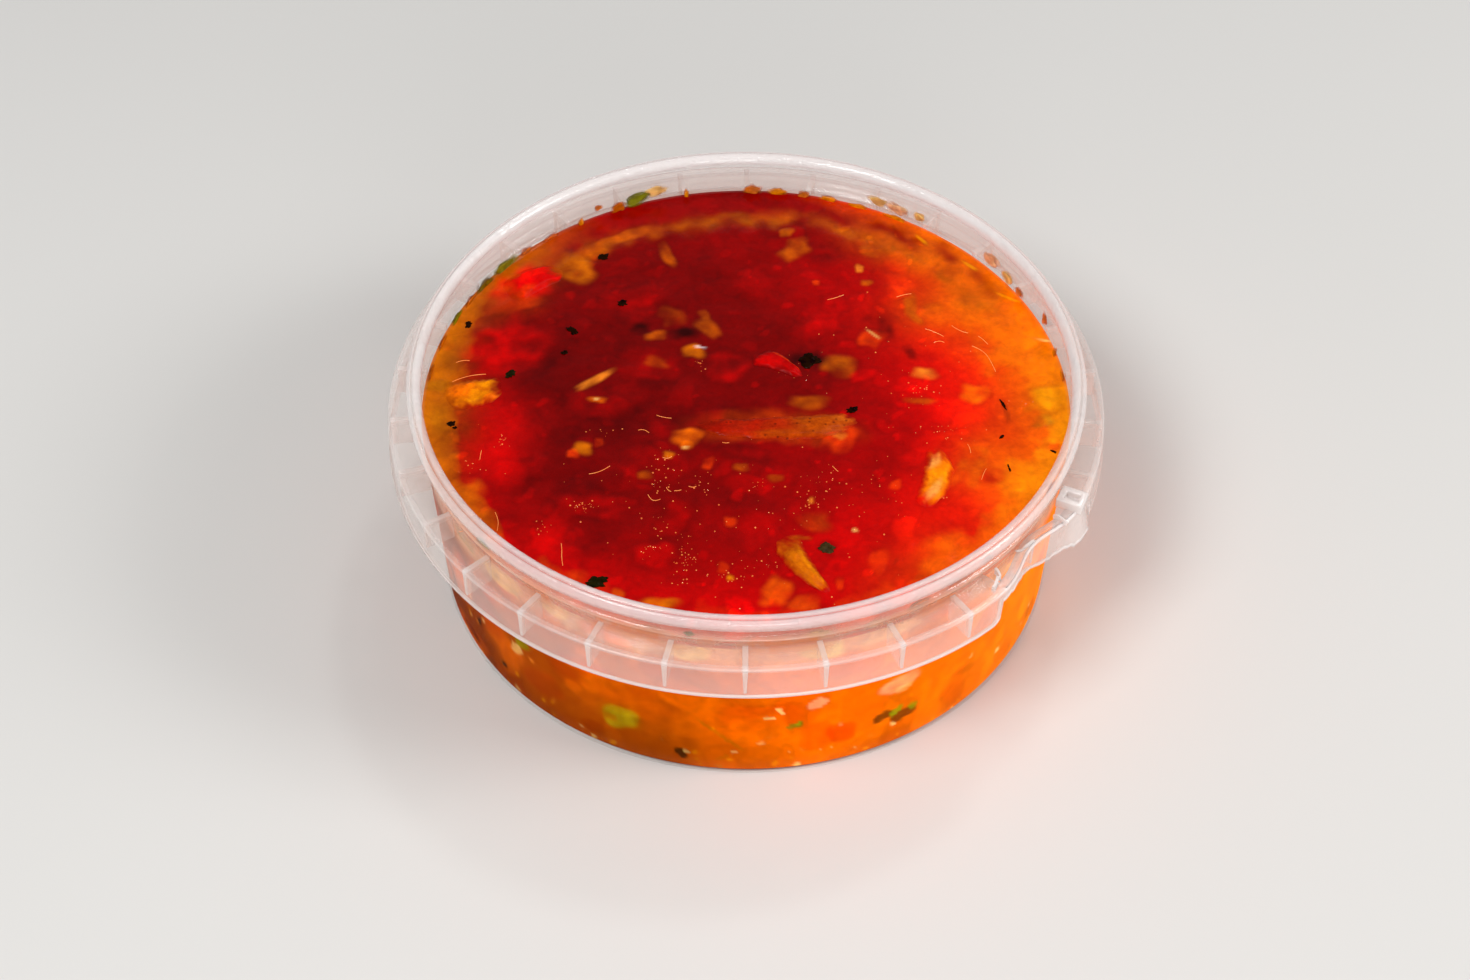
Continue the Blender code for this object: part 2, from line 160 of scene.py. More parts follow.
class Finish:
    def __init__(self, name):
        self.material = bpy.data.materials.new(name)
        self.material.use_nodes = True
        self.tree = self.material.node_tree
        self.shader = self.tree.nodes["Principled BSDF"]

    def fill(self, inputs, sockets):
        # a socket is named, or numbered after an underline
        for key, value in sockets.items():
            socket = inputs[int(key[1:])] if key[1:].isdigit() else inputs[key.replace("_", " ")]
            if isinstance(value, Wire):
                self.tree.links.new(value.socket, socket)
            else:
                socket.default_value = value

    def node(self, kind, settings=None, output=0, **sockets):
        made = self.tree.nodes.new("ShaderNode" + kind)
        for key, value in (settings or {}).items():
            setattr(made, key, value)
        self.fill(made.inputs, sockets)
        return Wire(self.tree, made.outputs[output])

    def set(self, **sockets):
        self.fill(self.shader.inputs, sockets)
        return self

    def noise(self, scale, detail=2.0, roughness=0.5, distortion=0.0):
        place = self.node("TexCoord", output=3)
        shape = {"Scale": scale, "Detail": detail, "Roughness": roughness, "Distortion": distortion}
        return self.node("TexNoise", Vector=place, **shape)

    def cells(self, scale, feature='F1'):
        place = self.node("TexCoord", output=3)
        return self.node("TexVoronoi", {"feature": feature}, Vector=place, Scale=scale)

    def ranged(self, value, start, end, low=0.0, high=1.0):
        span = {"From_Min": start, "From_Max": end, "To_Min": low, "To_Max": high}
        return self.node("MapRange", Value=value, **span)

    def attribute(self, name, output=0):
        return self.node("Attribute", {"attribute_name": name}, output)

    def mixed(self, factor, first, second, how='MIX'):
        return self.node("Mix", {"data_type": 'RGBA', "blend_type": how}, 2, _0=factor, _6=first, _7=second)

    def tinted(self, base, *shares):
        return self.mixed(1.0, base, (*shares, 1), 'MULTIPLY')

    def glowing(self, colour, strength):
        return self.set(Base_Color=colour, Emission_Color=colour, Emission_Strength=strength)

    def bump(self, height, strength, distance):
        return self.set(Normal=self.node("Bump", Strength=strength, Distance=distance, Height=height))


def facesOutwards():
    # for the mesh in edit mode, which is then left
    bpy.ops.mesh.select_all(action='SELECT')
    bpy.ops.mesh.normals_make_consistent(inside=False)
    bpy.ops.object.mode_set(mode='OBJECT')


def makeBox(name, size, cuts, centre=(0, 0, 0)):
    deselectAll()
    bpy.ops.mesh.primitive_cube_add(size=1, location=(0, 0, 0))
    made = bpy.context.object
    made.name = name
    bpy.ops.object.mode_set(mode='EDIT')
    bpy.ops.mesh.select_all(action='SELECT')
    bpy.ops.transform.resize(value=[side * mm for side in size])
    bpy.ops.transform.translate(value=[part * mm for part in centre])
    if cuts:
        bpy.ops.mesh.subdivide(number_cuts=cuts)
    bpy.ops.object.mode_set(mode='OBJECT')
    return made


def bevelEdges(made, width, segments):
    bevel = made.modifiers.new("edges", 'BEVEL')
    bevel.width = width * mm
    bevel.segments = segments
    bpy.ops.object.modifier_apply(modifier="edges")


def extrudeProfile(name, profile, steps, closed):
    # a circle is extruded and resized along a section of (radius, height) points
    deselectAll()
    radius, height = profile[0]
    fill = 'NOTHING' if closed else 'NGON'
    place = (0, 0, height * mm)
    bpy.ops.mesh.primitive_circle_add(vertices=steps, radius=radius * mm, fill_type=fill, location=place)
    made = bpy.context.object
    made.name = name
    bpy.ops.object.transform_apply(location=True, rotation=True, scale=True)
    bpy.ops.object.mode_set(mode='EDIT')
    bpy.ops.mesh.select_all(action='SELECT')
    for nextRadius, nextHeight in profile[1:] + (profile[:1] if closed else []):
        bpy.ops.mesh.extrude_region_move()
        share = nextRadius / radius
        bpy.ops.transform.resize(value=(share, share, 1), center_override=(0, 0, 0))
        bpy.ops.transform.translate(value=(0, 0, (nextHeight - height) * mm))
        radius, height = nextRadius, nextHeight
    bpy.ops.mesh.select_all(action='SELECT')
    bpy.ops.mesh.remove_doubles(threshold=0.000002)
    facesOutwards()
    bpy.ops.object.shade_smooth()
    return made


def meshPlaces(made):
    places = np.empty(len(made.data.vertices) * 3)
    made.data.vertices.foreach_get("co", places)
    return places.reshape(-1, 3) / mm


def setPlaces(made, places):
    made.data.vertices.foreach_set("co", (places * mm).ravel())
    made.data.update()


def paint(made, colours):
    attribute = made.data.attributes.new("paint", 'FLOAT_COLOR', 'POINT')
    full = np.ones((len(made.data.vertices), 4))
    full[:, :3] = np.clip(colours, 0, 1)
    attribute.data.foreach_set("color", full.ravel())


def paintShare(made, name, values):
    attribute = made.data.attributes.new(name, 'FLOAT', 'POINT')
    attribute.data.foreach_set("value", np.clip(values, 0, 1).astype(float))


def joined(pieces, name):
    deselectAll()
    for piece in pieces:
        piece.select_set(True)
    bpy.context.view_layer.objects.active = pieces[0]
    bpy.ops.object.join()
    made = bpy.context.object
    made.name = name
    bpy.ops.object.transform_apply(location=True, rotation=True, scale=True)
    return made


def copied(made, matrix):
    twin = made.copy()
    twin.data = made.data.copy()
    twin.matrix_world = matrix
    bpy.context.collection.objects.link(twin)
    return twin


def dress(made, finish, slotName, *nodes):
    made.data.materials.clear()
    made.data.materials.append(finish.material)
    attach(made, "root")
    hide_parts(*nodes)
    print(made.name, len(made.data.vertices), "points")
    return made


plastic = {
    # cover where it is clearest and where it is milkiest
    "clearPlastic": (0.0, 0.53),
    "milkyPlastic": (0.03, 0.74),
    "ribPlastic": (0.06, 0.85),
    "bucklePlastic": (0.3, 0.95),
    "cloudScale": 260.0,
    "flowScale": 90.0,
    "rippleScale": 560.0,
    "cloudShare": 0.08,
    "grazingShare": 0.07,
    "cool": (236, 220, 210),
    "warm": (242, 234, 232),
    # colours of the sauce film, made paler as painted light under the bead
    "paleStainAndLight": (252, 196, 146),
    "deepStainAndLight": (240, 140, 66),
    "stainShare": 0.62,
    "bump": (0.6, 0.0004),
}


def dressPlastic(made, name, stained=False):
    # clear moulded plastic that turns milky where it is thick and where it is seen edge on
    finish = Finish(name)
    clearest, milkiest = plastic[name]
    thick = finish.attribute("thick", 2)
    cloud = finish.noise(plastic["cloudScale"], 3.0, 0.6)
    flow = finish.noise(plastic["flowScale"])
    grazing = finish.node("LayerWeight", None, 1, Blend=0.5) ** 5.0
    alpha = thick * (milkiest - clearest) + clearest
    alpha = alpha + (cloud - 0.5) * thick * plastic["cloudShare"] + grazing * plastic["grazingShare"]
    colour = finish.mixed(thick, solid(*plastic["cool"]), solid(*plastic["warm"]))
    if stained:
        # a film of sauce clings to the inside above the level; its cream colours are also painted light that
        # brightens the band under the bead
        smear = finish.ranged(flow * 0.5 + cloud * 0.5, 0.36, 0.56)
        film = finish.attribute("film", 2) * (smear * 0.6 + 0.4)
        alpha = alpha + film * plastic["stainShare"]
        stain = finish.mixed(smear, solid(*plastic["paleStainAndLight"]), solid(*plastic["deepStainAndLight"]))
        colour = finish.mixed(film, colour, stain)
    finish.set(Alpha=alpha, Roughness=flow * 0.08 + 0.08, IOR=1.49, Specular_IOR_Level=0.6)
    finish.set(Base_Color=colour, Coat_Weight=0.6, Coat_Roughness=0.03)
    ripple = finish.noise(plastic["rippleScale"], 2.0, 0.6, 1.0)
    finish.bump(cloud + flow * 2.0 + thick * ripple * 1.2, *plastic["bump"])
    return dress(made, finish, "tub_plastic", "tub")


def cupProfile():
    thickness, floorTop = tub["wallThickness"], tub["floorThickness"]
    inner, corner = tub["innerCorner"], tub["baseCorner"]
    wallTop, wallSteps = tub["wallTopHeight"], tub["wallSteps"]
    bead, half, beadHeight = tub["beadRadius"], tub["beadHalfWidth"], tub["beadHeight"]
    turns = [math.pi / 2 * step / tub["cornerSteps"] for step in range(tub["cornerSteps"] + 1)]
    # inside, from the floor up the wall
    floorEdge = wallRadius(corner) - thickness - inner
    lowest = floorTop + inner
    section = [(floorEdge - 2, floorTop)]
    for turn in turns:
        section.append((floorEdge + inner * math.sin(turn), lowest - inner * math.cos(turn)))
    for step in range(1, wallSteps + 1):
        height = lowest + (wallTop - lowest) * step / wallSteps
        section.append((wallRadius(height) - thickness, height))
    # over the rim bead, which has a fine groove round its top
    middle = tub["rimHeight"] - beadHeight / 2
    section.append((bead - half + 0.1, middle - 0.9))
    for step in range(tub["beadSteps"] + 1):
        turn = math.pi * (1 - step / tub["beadSteps"])
        across = half * math.cos(turn)
        off = (across - tub["grooveAcross"]) / tub["grooveWidth"]
        groove = tub["grooveDepth"] * math.exp(-off * off)
        section.append((bead + across, middle + beadHeight / 2 * math.sin(turn) - groove))
    under = tub["rimHeight"] - beadHeight
    section += [(bead + half - 0.05, middle - 0.7), (bead + half - 0.35, under + 0.1)]
    # outside, over the snap ridge and down to the base
    wall, base = tub["wallTopRadius"], tub["baseRadius"]
    section += [(wall + 0.25, under), (wall + 0.05, under - 0.4)]
    for rise, out in tub["ridgeShape"]:
        section.append((wall + out * tub["ridgeDepth"], tub["ridgeHeight"] + rise))
    for step in range(wallSteps + 1):
        height = wallTop - (wallTop - corner) * step / wallSteps
        section.append((wallRadius(height), height))
    for turn in turns[1:]:
        section.append((base - corner + corner * math.cos(turn), corner - corner * math.sin(turn)))
    return section + [(base - 6, 0)]


def makeCup():
    made = extrudeProfile("tubCup", cupProfile(), tub["steps"], False)
    x, y, height = meshPlaces(made).T
    radius = np.hypot(x, y)
    under = tub["rimHeight"] - tub["beadHeight"]
    wallTop = tub["wallTopHeight"]
    bead = smoothStep(height, under, under + 0.9)
    ridge = tub["ridgeMilk"] * np.exp(-((height - tub["ridgeHeight"]) / 0.5) ** 2)
    foot = tub["footMilk"] * smoothStep(-height, -0.7, -0.1) * (radius > tub["baseRadius"] - 3)
    upper = tub["upperMilk"] * smoothStep(height, wallTop - 0.2, wallTop + 0.8)
    across = radius - tub["beadRadius"] - tub["grooveAcross"]
    onTop = height > tub["rimHeight"] - 1.2
    groove = 1 - tub["grooveClear"] * np.exp(-(across / 0.2) ** 2) * onTop
    paintShare(made, "thick", np.maximum.reduce([bead * groove, ridge, foot, upper]))
    behind = tub["filmBehind"]
    front = behind + (1 - behind) * (1 - smoothStep(np.abs(angleAt(x, y)), *tub["filmSides"]))
    film = smoothStep(height, wallTop - 0.6, wallTop) * (1 - smoothStep(height, *tub["filmFade"]))
    paintShare(made, "film", film * front)
    return dressPlastic(made, "clearPlastic", True)


# The ring round the cup: a thin flange on top, ribs below it and a skirt that hangs down
ring = {
    "radius": 59.2,
    "top": 34.4,
    "edgeWidth": 1.15,
    "flangeThickness": 0.5,
    "innerRadius": 53.8,
    "skirtBottom": 28.0,
    "skirtThickness": 0.7,
    "flare": 0.25,
    "lipDepth": 0.11,
    "lipHeight": 0.75,
    "steps": 720,
    "ribCount": 30,
    "ribFirstAngle": 0.2,
    "ribTopWidth": 0.95,
    "ribFootWidth": 0.5,
    # gaps from a rib to the ring's top, the skirt's foot and the ring's edge, and its depth in the wall
    "ribTopGap": 0.42,
    "ribFootGap": 0.4,
    "ribOuterGap": 0.35,
    "ribInWall": 0.3,
    "ribBevel": 0.12,
}

# The opened tear-off tab, where the skirt is cut, thin and bent
tab = {
    "start": 42.4,
    "neckStart": 43.0,
    "neckEnd": 46.0,
    "full": 57.0,
    "end": 67.4,
    "notchEnd": 69.0,
    "neckBottom": 32.3,
    "notchBottom": 30.6,
    "flangeWidth": 1.9,
    "edgeWidth": 0.55,
    "pull": 2.9,
    "pullAngle": 53.5,
    "pullSpread": 7.0,
    "flap": 1.0,
    "ragged": 0.45,
    "ribAngles": (46.4, 54.0, 62.2),
    "corner": 2.0,
    "buckleAngle": 65.0,
    "buckleRadius": 57.3,
    "buckleSize": (3.6, 4.4, 1.9),
    "buckleBorder": 1.05,
    "buckleDepth": 1.2,
    "buckleBevel": 0.3,
    # angle and spread of the places that whiten where the tab was stretched
    "stretched": ((46, 4.5), (64, 4.0)),
    # angle, radius, height, turn and size of each torn bit
    "bits": (
        (43.0, 56.9, 34.3, 25, (2.2, 0.5, 1.4)),
        (44.6, 55.9, 34.5, 70, (1.6, 0.4, 1.0)),
        (60.6, 57.2, 34.6, 80, (2.6, 0.4, 0.9)),
        (52.4, 55.5, 34.4, -12, (4.4, 0.35, 0.6)),
    ),
}


def skirtBottom(angle):
    cornerStart = tab["start"] - math.degrees(tab["corner"] / ring["radius"])
    if angle < cornerStart or angle > tab["notchEnd"]:
        return ring["skirtBottom"]
    if angle < tab["start"]:
        along = (angle - cornerStart) / (tab["start"] - cornerStart)
        return ring["skirtBottom"] + tab["corner"] * (1 - math.sqrt(1 - along * along))
    if angle > tab["end"]:
        return tab["notchBottom"]
    neck = 1 - smoothStep(angle, tab["neckEnd"], tab["full"])
    torn = noise.noise(Vector((angle * 1.4, 3.1, 0))) + 0.5 * noise.noise(Vector((angle * 4.3, 8.1, 0)))
    return ring["skirtBottom"] + (tab["neckBottom"] - ring["skirtBottom"]) * neck + tab["ragged"] * torn


def ringOuter(angle):
    away = (angle - tab["pullAngle"]) / tab["pullSpread"]
    bent = tab["start"] - 4 < angle < tab["notchEnd"] + 4
    return ring["radius"] - (tab["pull"] * math.exp(-away * away) if bent else 0)


def ringSection(angle):
    outer = ringOuter(angle)
    torn = tab["neckStart"] <= angle <= tab["end"]
    inner = outer - tab["flangeWidth"] if torn else ring["innerRadius"]
    low = skirtBottom(angle)
    flap = tab["flap"] * smoothStep(angle, 60, 63) * (1 - smoothStep(angle, 66, tab["end"]))
    foot = outer + (ring["flare"] + flap) * (ring["top"] - low) / (ring["top"] - ring["skirtBottom"])
    flangeTop = ring["top"] - 0.2
    width = tab["edgeWidth"] if torn else ring["edgeWidth"]
    white = 0.55 if torn else 0.0
    # radius, height and how milky the plastic is there
    return (
        (inner, flangeTop, 0.24 + 2 * white),
        (outer - width - 0.1, flangeTop, 0.31),
        (outer - width + 0.1, ring["top"] - 0.04, 0.42 + white),
        (outer - width + 0.3, ring["top"], 0.42 + white),
        (outer - 0.35, ring["top"], 0.42 + white),
        (outer - 0.1, ring["top"] - 0.1, 0.62 + white),
        (outer, ring["top"] - 0.35, 0.5 + white),
        (outer + 0.02, ring["top"] - 0.75, 0.27),
        (foot, low + ring["lipHeight"] + 0.2, 0.27),
        (foot + ring["lipDepth"], low + ring["lipHeight"], 0.72),
        (foot + ring["lipDepth"], low + 0.2, 0.8 + white),
        (foot + ring["lipDepth"] - 0.15, low, 0.8 + white),
        (foot - ring["skirtThickness"] + 0.1, low, 0.9),
        (foot - ring["skirtThickness"], low + 0.15, 0.3),
        (outer - ring["skirtThickness"], flangeTop - ring["flangeThickness"] - 0.2, 0.18),
        (outer - ring["skirtThickness"] - 0.2, flangeTop - ring["flangeThickness"], 0.2),
        (inner, flangeTop - ring["flangeThickness"], 0.08),
    )


def makeRing():
    section = np.array(ringSection(180))
    made = extrudeProfile("tubRing", [tuple(point[:2]) for point in section], ring["steps"], True)
    places = meshPlaces(made)
    angles = angleAt(places[:, 0], places[:, 1])
    flat = np.column_stack([np.hypot(places[:, 0], places[:, 1]), places[:, 2]])
    corner = np.argmin(((flat[:, None, :] - section[None, :, :2]) ** 2).sum(2), axis=1)
    milky = section[corner, 2].copy()
    for index in np.nonzero((angles > tab["start"] - 6) & (angles < tab["notchEnd"] + 6))[0]:
        radius, height, milky[index] = ringSection(angles[index])[corner[index]]
        places[index] = roundPlace(angles[index], radius, height) / mm
    setPlaces(made, places)
    for angle, spread in tab["stretched"]:
        milky += 0.4 * np.exp(-((angles - angle) / spread) ** 2)
    paintShare(made, "thick", milky)
    return dressPlastic(made, "milkyPlastic")


def makeRibs():
    top = ring["top"] - ring["ribTopGap"]
    foot = ring["skirtBottom"] + ring["ribFootGap"]
    inner = tub["wallTopRadius"] - ring["ribInWall"]
    outer = ring["radius"] - ring["ribOuterGap"]
    size = (ring["ribTopWidth"], outer - inner, top - foot)
    plate = makeBox("rib", size, 3, (0, -(outer + inner) / 2, (top + foot) / 2))
    places = meshPlaces(plate)
    taper = ring["ribFootWidth"] / ring["ribTopWidth"]
    places[:, 0] *= taper + (1 - taper) * (places[:, 2] - foot) / (top - foot)
    setPlaces(plate, places)
    bevelEdges(plate, ring["ribBevel"], 2)
    places = meshPlaces(plate)
    edge = 0.45 * smoothStep(-places[:, 1], outer - 1.2, outer - 0.2)
    paintShare(plate, "thick", 0.2 + 0.35 * smoothStep(places[:, 2], top - 0.9, top) + edge)
    ribs = []
    for index in range(ring["ribCount"]):
        angle = ring["ribFirstAngle"] + index * 360 / ring["ribCount"]
        if not tab["start"] < angle < tab["notchEnd"]:
            ribs.append(copied(plate, Matrix.Rotation(math.radians(angle), 4, 'Z')))
    # the torn tab keeps short ribs
    width = tab["flangeWidth"]
    for angle in tab["ribAngles"]:
        low = skirtBottom(angle) + 0.5
        twin = copied(plate, Matrix.Rotation(math.radians(angle), 4, 'Z'))
        moved = places.copy()
        along = (-places[:, 1] - inner) / (outer - inner)
        moved[:, 1] = -(ringOuter(angle) - width + 0.1 + along * (width - 0.5))
        moved[:, 2] = low + (places[:, 2] - foot) / (top - foot) * (top - low)
        setPlaces(twin, moved)
        ribs.append(twin)
    bpy.data.objects.remove(plate)
    made = joined(ribs, "tubRibs")
    return dressPlastic(made, "ribPlastic")


def makeBuckle():
    made = makeBox("buckle", tab["buckleSize"], 0)
    # a square hollow in its top
    bpy.ops.object.mode_set(mode='EDIT')
    bpy.ops.mesh.select_all(action='DESELECT')
    bpy.ops.object.mode_set(mode='OBJECT')
    for face in made.data.polygons:
        face.select = face.normal.z > 0.9
    bpy.ops.object.mode_set(mode='EDIT')
    bpy.ops.mesh.inset(thickness=tab["buckleBorder"] * mm)
    bpy.ops.mesh.extrude_region_move(TRANSFORM_OT_translate={"value": (0, 0, -tab["buckleDepth"] * mm)})
    bpy.ops.object.mode_set(mode='OBJECT')
    bevelEdges(made, tab["buckleBevel"], 3)
    place = Matrix.Translation(roundPlace(tab["buckleAngle"], tab["buckleRadius"], ring["top"] + 0.45))
    made.matrix_world = place @ Matrix.Rotation(math.radians(tab["buckleAngle"]), 4, 'Z')
    bpy.ops.object.transform_apply(location=True, rotation=True, scale=True)
    # bits of plastic left standing where the tab tore
    bits = [made]
    for angle, radius, height, turn, size in tab["bits"]:
        bit = makeBox("bit", size, 5)
        places = meshPlaces(bit)
        torn = np.array([noise.noise(Vector(point) * 0.9 + Vector((angle, 0, 0))) for point in places])
        bow = 0.5 * (places[:, 0] / size[0]) ** 2 + 0.1 * torn
        places += np.column_stack([0.3 * torn, bow, 0.5 * torn])
        setPlaces(bit, places)
        spot = Matrix.Translation(roundPlace(angle, radius, height))
        bit.matrix_world = spot @ Matrix.Rotation(math.radians(angle + turn), 4, 'Z')
        bits.append(bit)
    made = joined(bits, "tubBuckle")
    bpy.ops.object.shade_smooth_by_angle(angle=math.radians(40))
    paintShare(made, "thick", np.full(len(made.data.vertices), 0.7))
    return dressPlastic(made, "bucklePlastic")


# Colours of the salsa as a screen shows them
shades = {
    "deep": (88, 0, 0),
    "wine": (106, 0, 0),
    "red": (138, 0, 0),
    "mid": (170, 0, 0),
    "bright": (206, 0, 0),
    "scarlet": (240, 18, 0),
    "orangeRed": (226, 54, 0),
    "orange": (248, 106, 0),
    "gold": (240, 142, 0),
    "amber": (206, 88, 0),
    "rust": (160, 40, 0),
    "brown": (104, 22, 0),
    "tan": (178, 72, 0),
    "paleTan": (216, 112, 26),
    "yellow": (202, 98, 0),
    "cream": (250, 196, 110),
    "white": (236, 226, 222),
    "honey": (210, 106, 0),
    "olive": (112, 96, 8),
    "herb": (70, 54, 28),
    "green": (128, 132, 8),
    "moss": (176, 146, 12),
    "leaf": (22, 24, 4),
    "black": (20, 0, 0),
    "peach": (252, 186, 136),
}


def tone(name):
    return display(*shades[name])


# Broad zones of the surface: x, y, half length, half width, turn, shade, strength. Besides the sauce's own
# reds they hold painted light: orange near the wall and on the right, where light came in, and deep red in
# the middle.
zones = (
    (-14, 24, 30, 20, 0, "wine", 0.9),
    (-26, 2, 15, 22, 0, "deep", 0.8),
    (-26, -20, 12, 9, 0, "deep", 0.7),
    (-6, -23, 15, 7, 0, "wine", 0.75),
    (0, 6, 18, 14, 0, "wine", 0.8),
    (-10, -4, 16, 6, 0, "deep", 0.6),
    (26, 18, 14, 18, 0, "mid", 0.5),
    (32, 8, 11, 26, 0, "bright", 0.85),
    (24, -34, 20, 14, 0, "bright", 0.8),
    (31, -38, 12, 8, 35, "orangeRed", 0.85),
    (-2, -47, 28, 8, 0, "bright", 0.85),
    (-33, -37, 16, 8, -38, "bright", 0.85),
    (-28, 16, 12, 12, 0, "wine", 0.5),
    (12, 30, 10, 8, 0, "bright", 0.2),
    (-42, -10, 6, 12, 0, "bright", 0.75),
    (40, 4, 10, 24, 0, "scarlet", 0.8),
    (38, -26, 12, 14, 0, "scarlet", 0.8),
    (46, -8, 7, 26, 0, "orangeRed", 0.8),
    (42, 26, 12, 13, -40, "orange", 0.8),
    (27, 30, 12, 7, 20, "bright", 0.5),
    (31, 38, 14, 7, -40, "orange", 0.75),
    (49, 6, 7, 26, 0, "orange", 0.9),
    (46, -22, 8, 14, 20, "orange", 0.8),
    (-52, 4, 5, 24, 0, "honey", 0.65),
    (-40, 31, 13, 6, 50, "amber", 0.75),
)

# How far the lit edge reaches in from the wall, and its shade, at angles round the tub
edgeGlow = (
    (-180, 2.4, "wine"),
    (-150, 2.6, "red"),
    (-135, 5.0, "tan"),
    (-118, 4.8, "honey"),
    (-90, 4.8, "honey"),
    (-60, 5.0, "honey"),
    (-30, 6.0, "orangeRed"),
    (0, 5.0, "orangeRed"),
    (25, 7.0, "orangeRed"),
    (50, 9.0, "orange"),
    (80, 9.5, "gold"),
    (110, 10.0, "orange"),
    (140, 8.0, "orange"),
    (158, 3.0, "orangeRed"),
    (172, 2.4, "red"),
    (180, 2.4, "wine"),
)

# Rings along the far wall: depth in from the wall, half width, shade, strength
backRings = (
    (3.6, 1.9, "red", 0.7),
    (6.9, 1.5, "tan", 0.72),
)
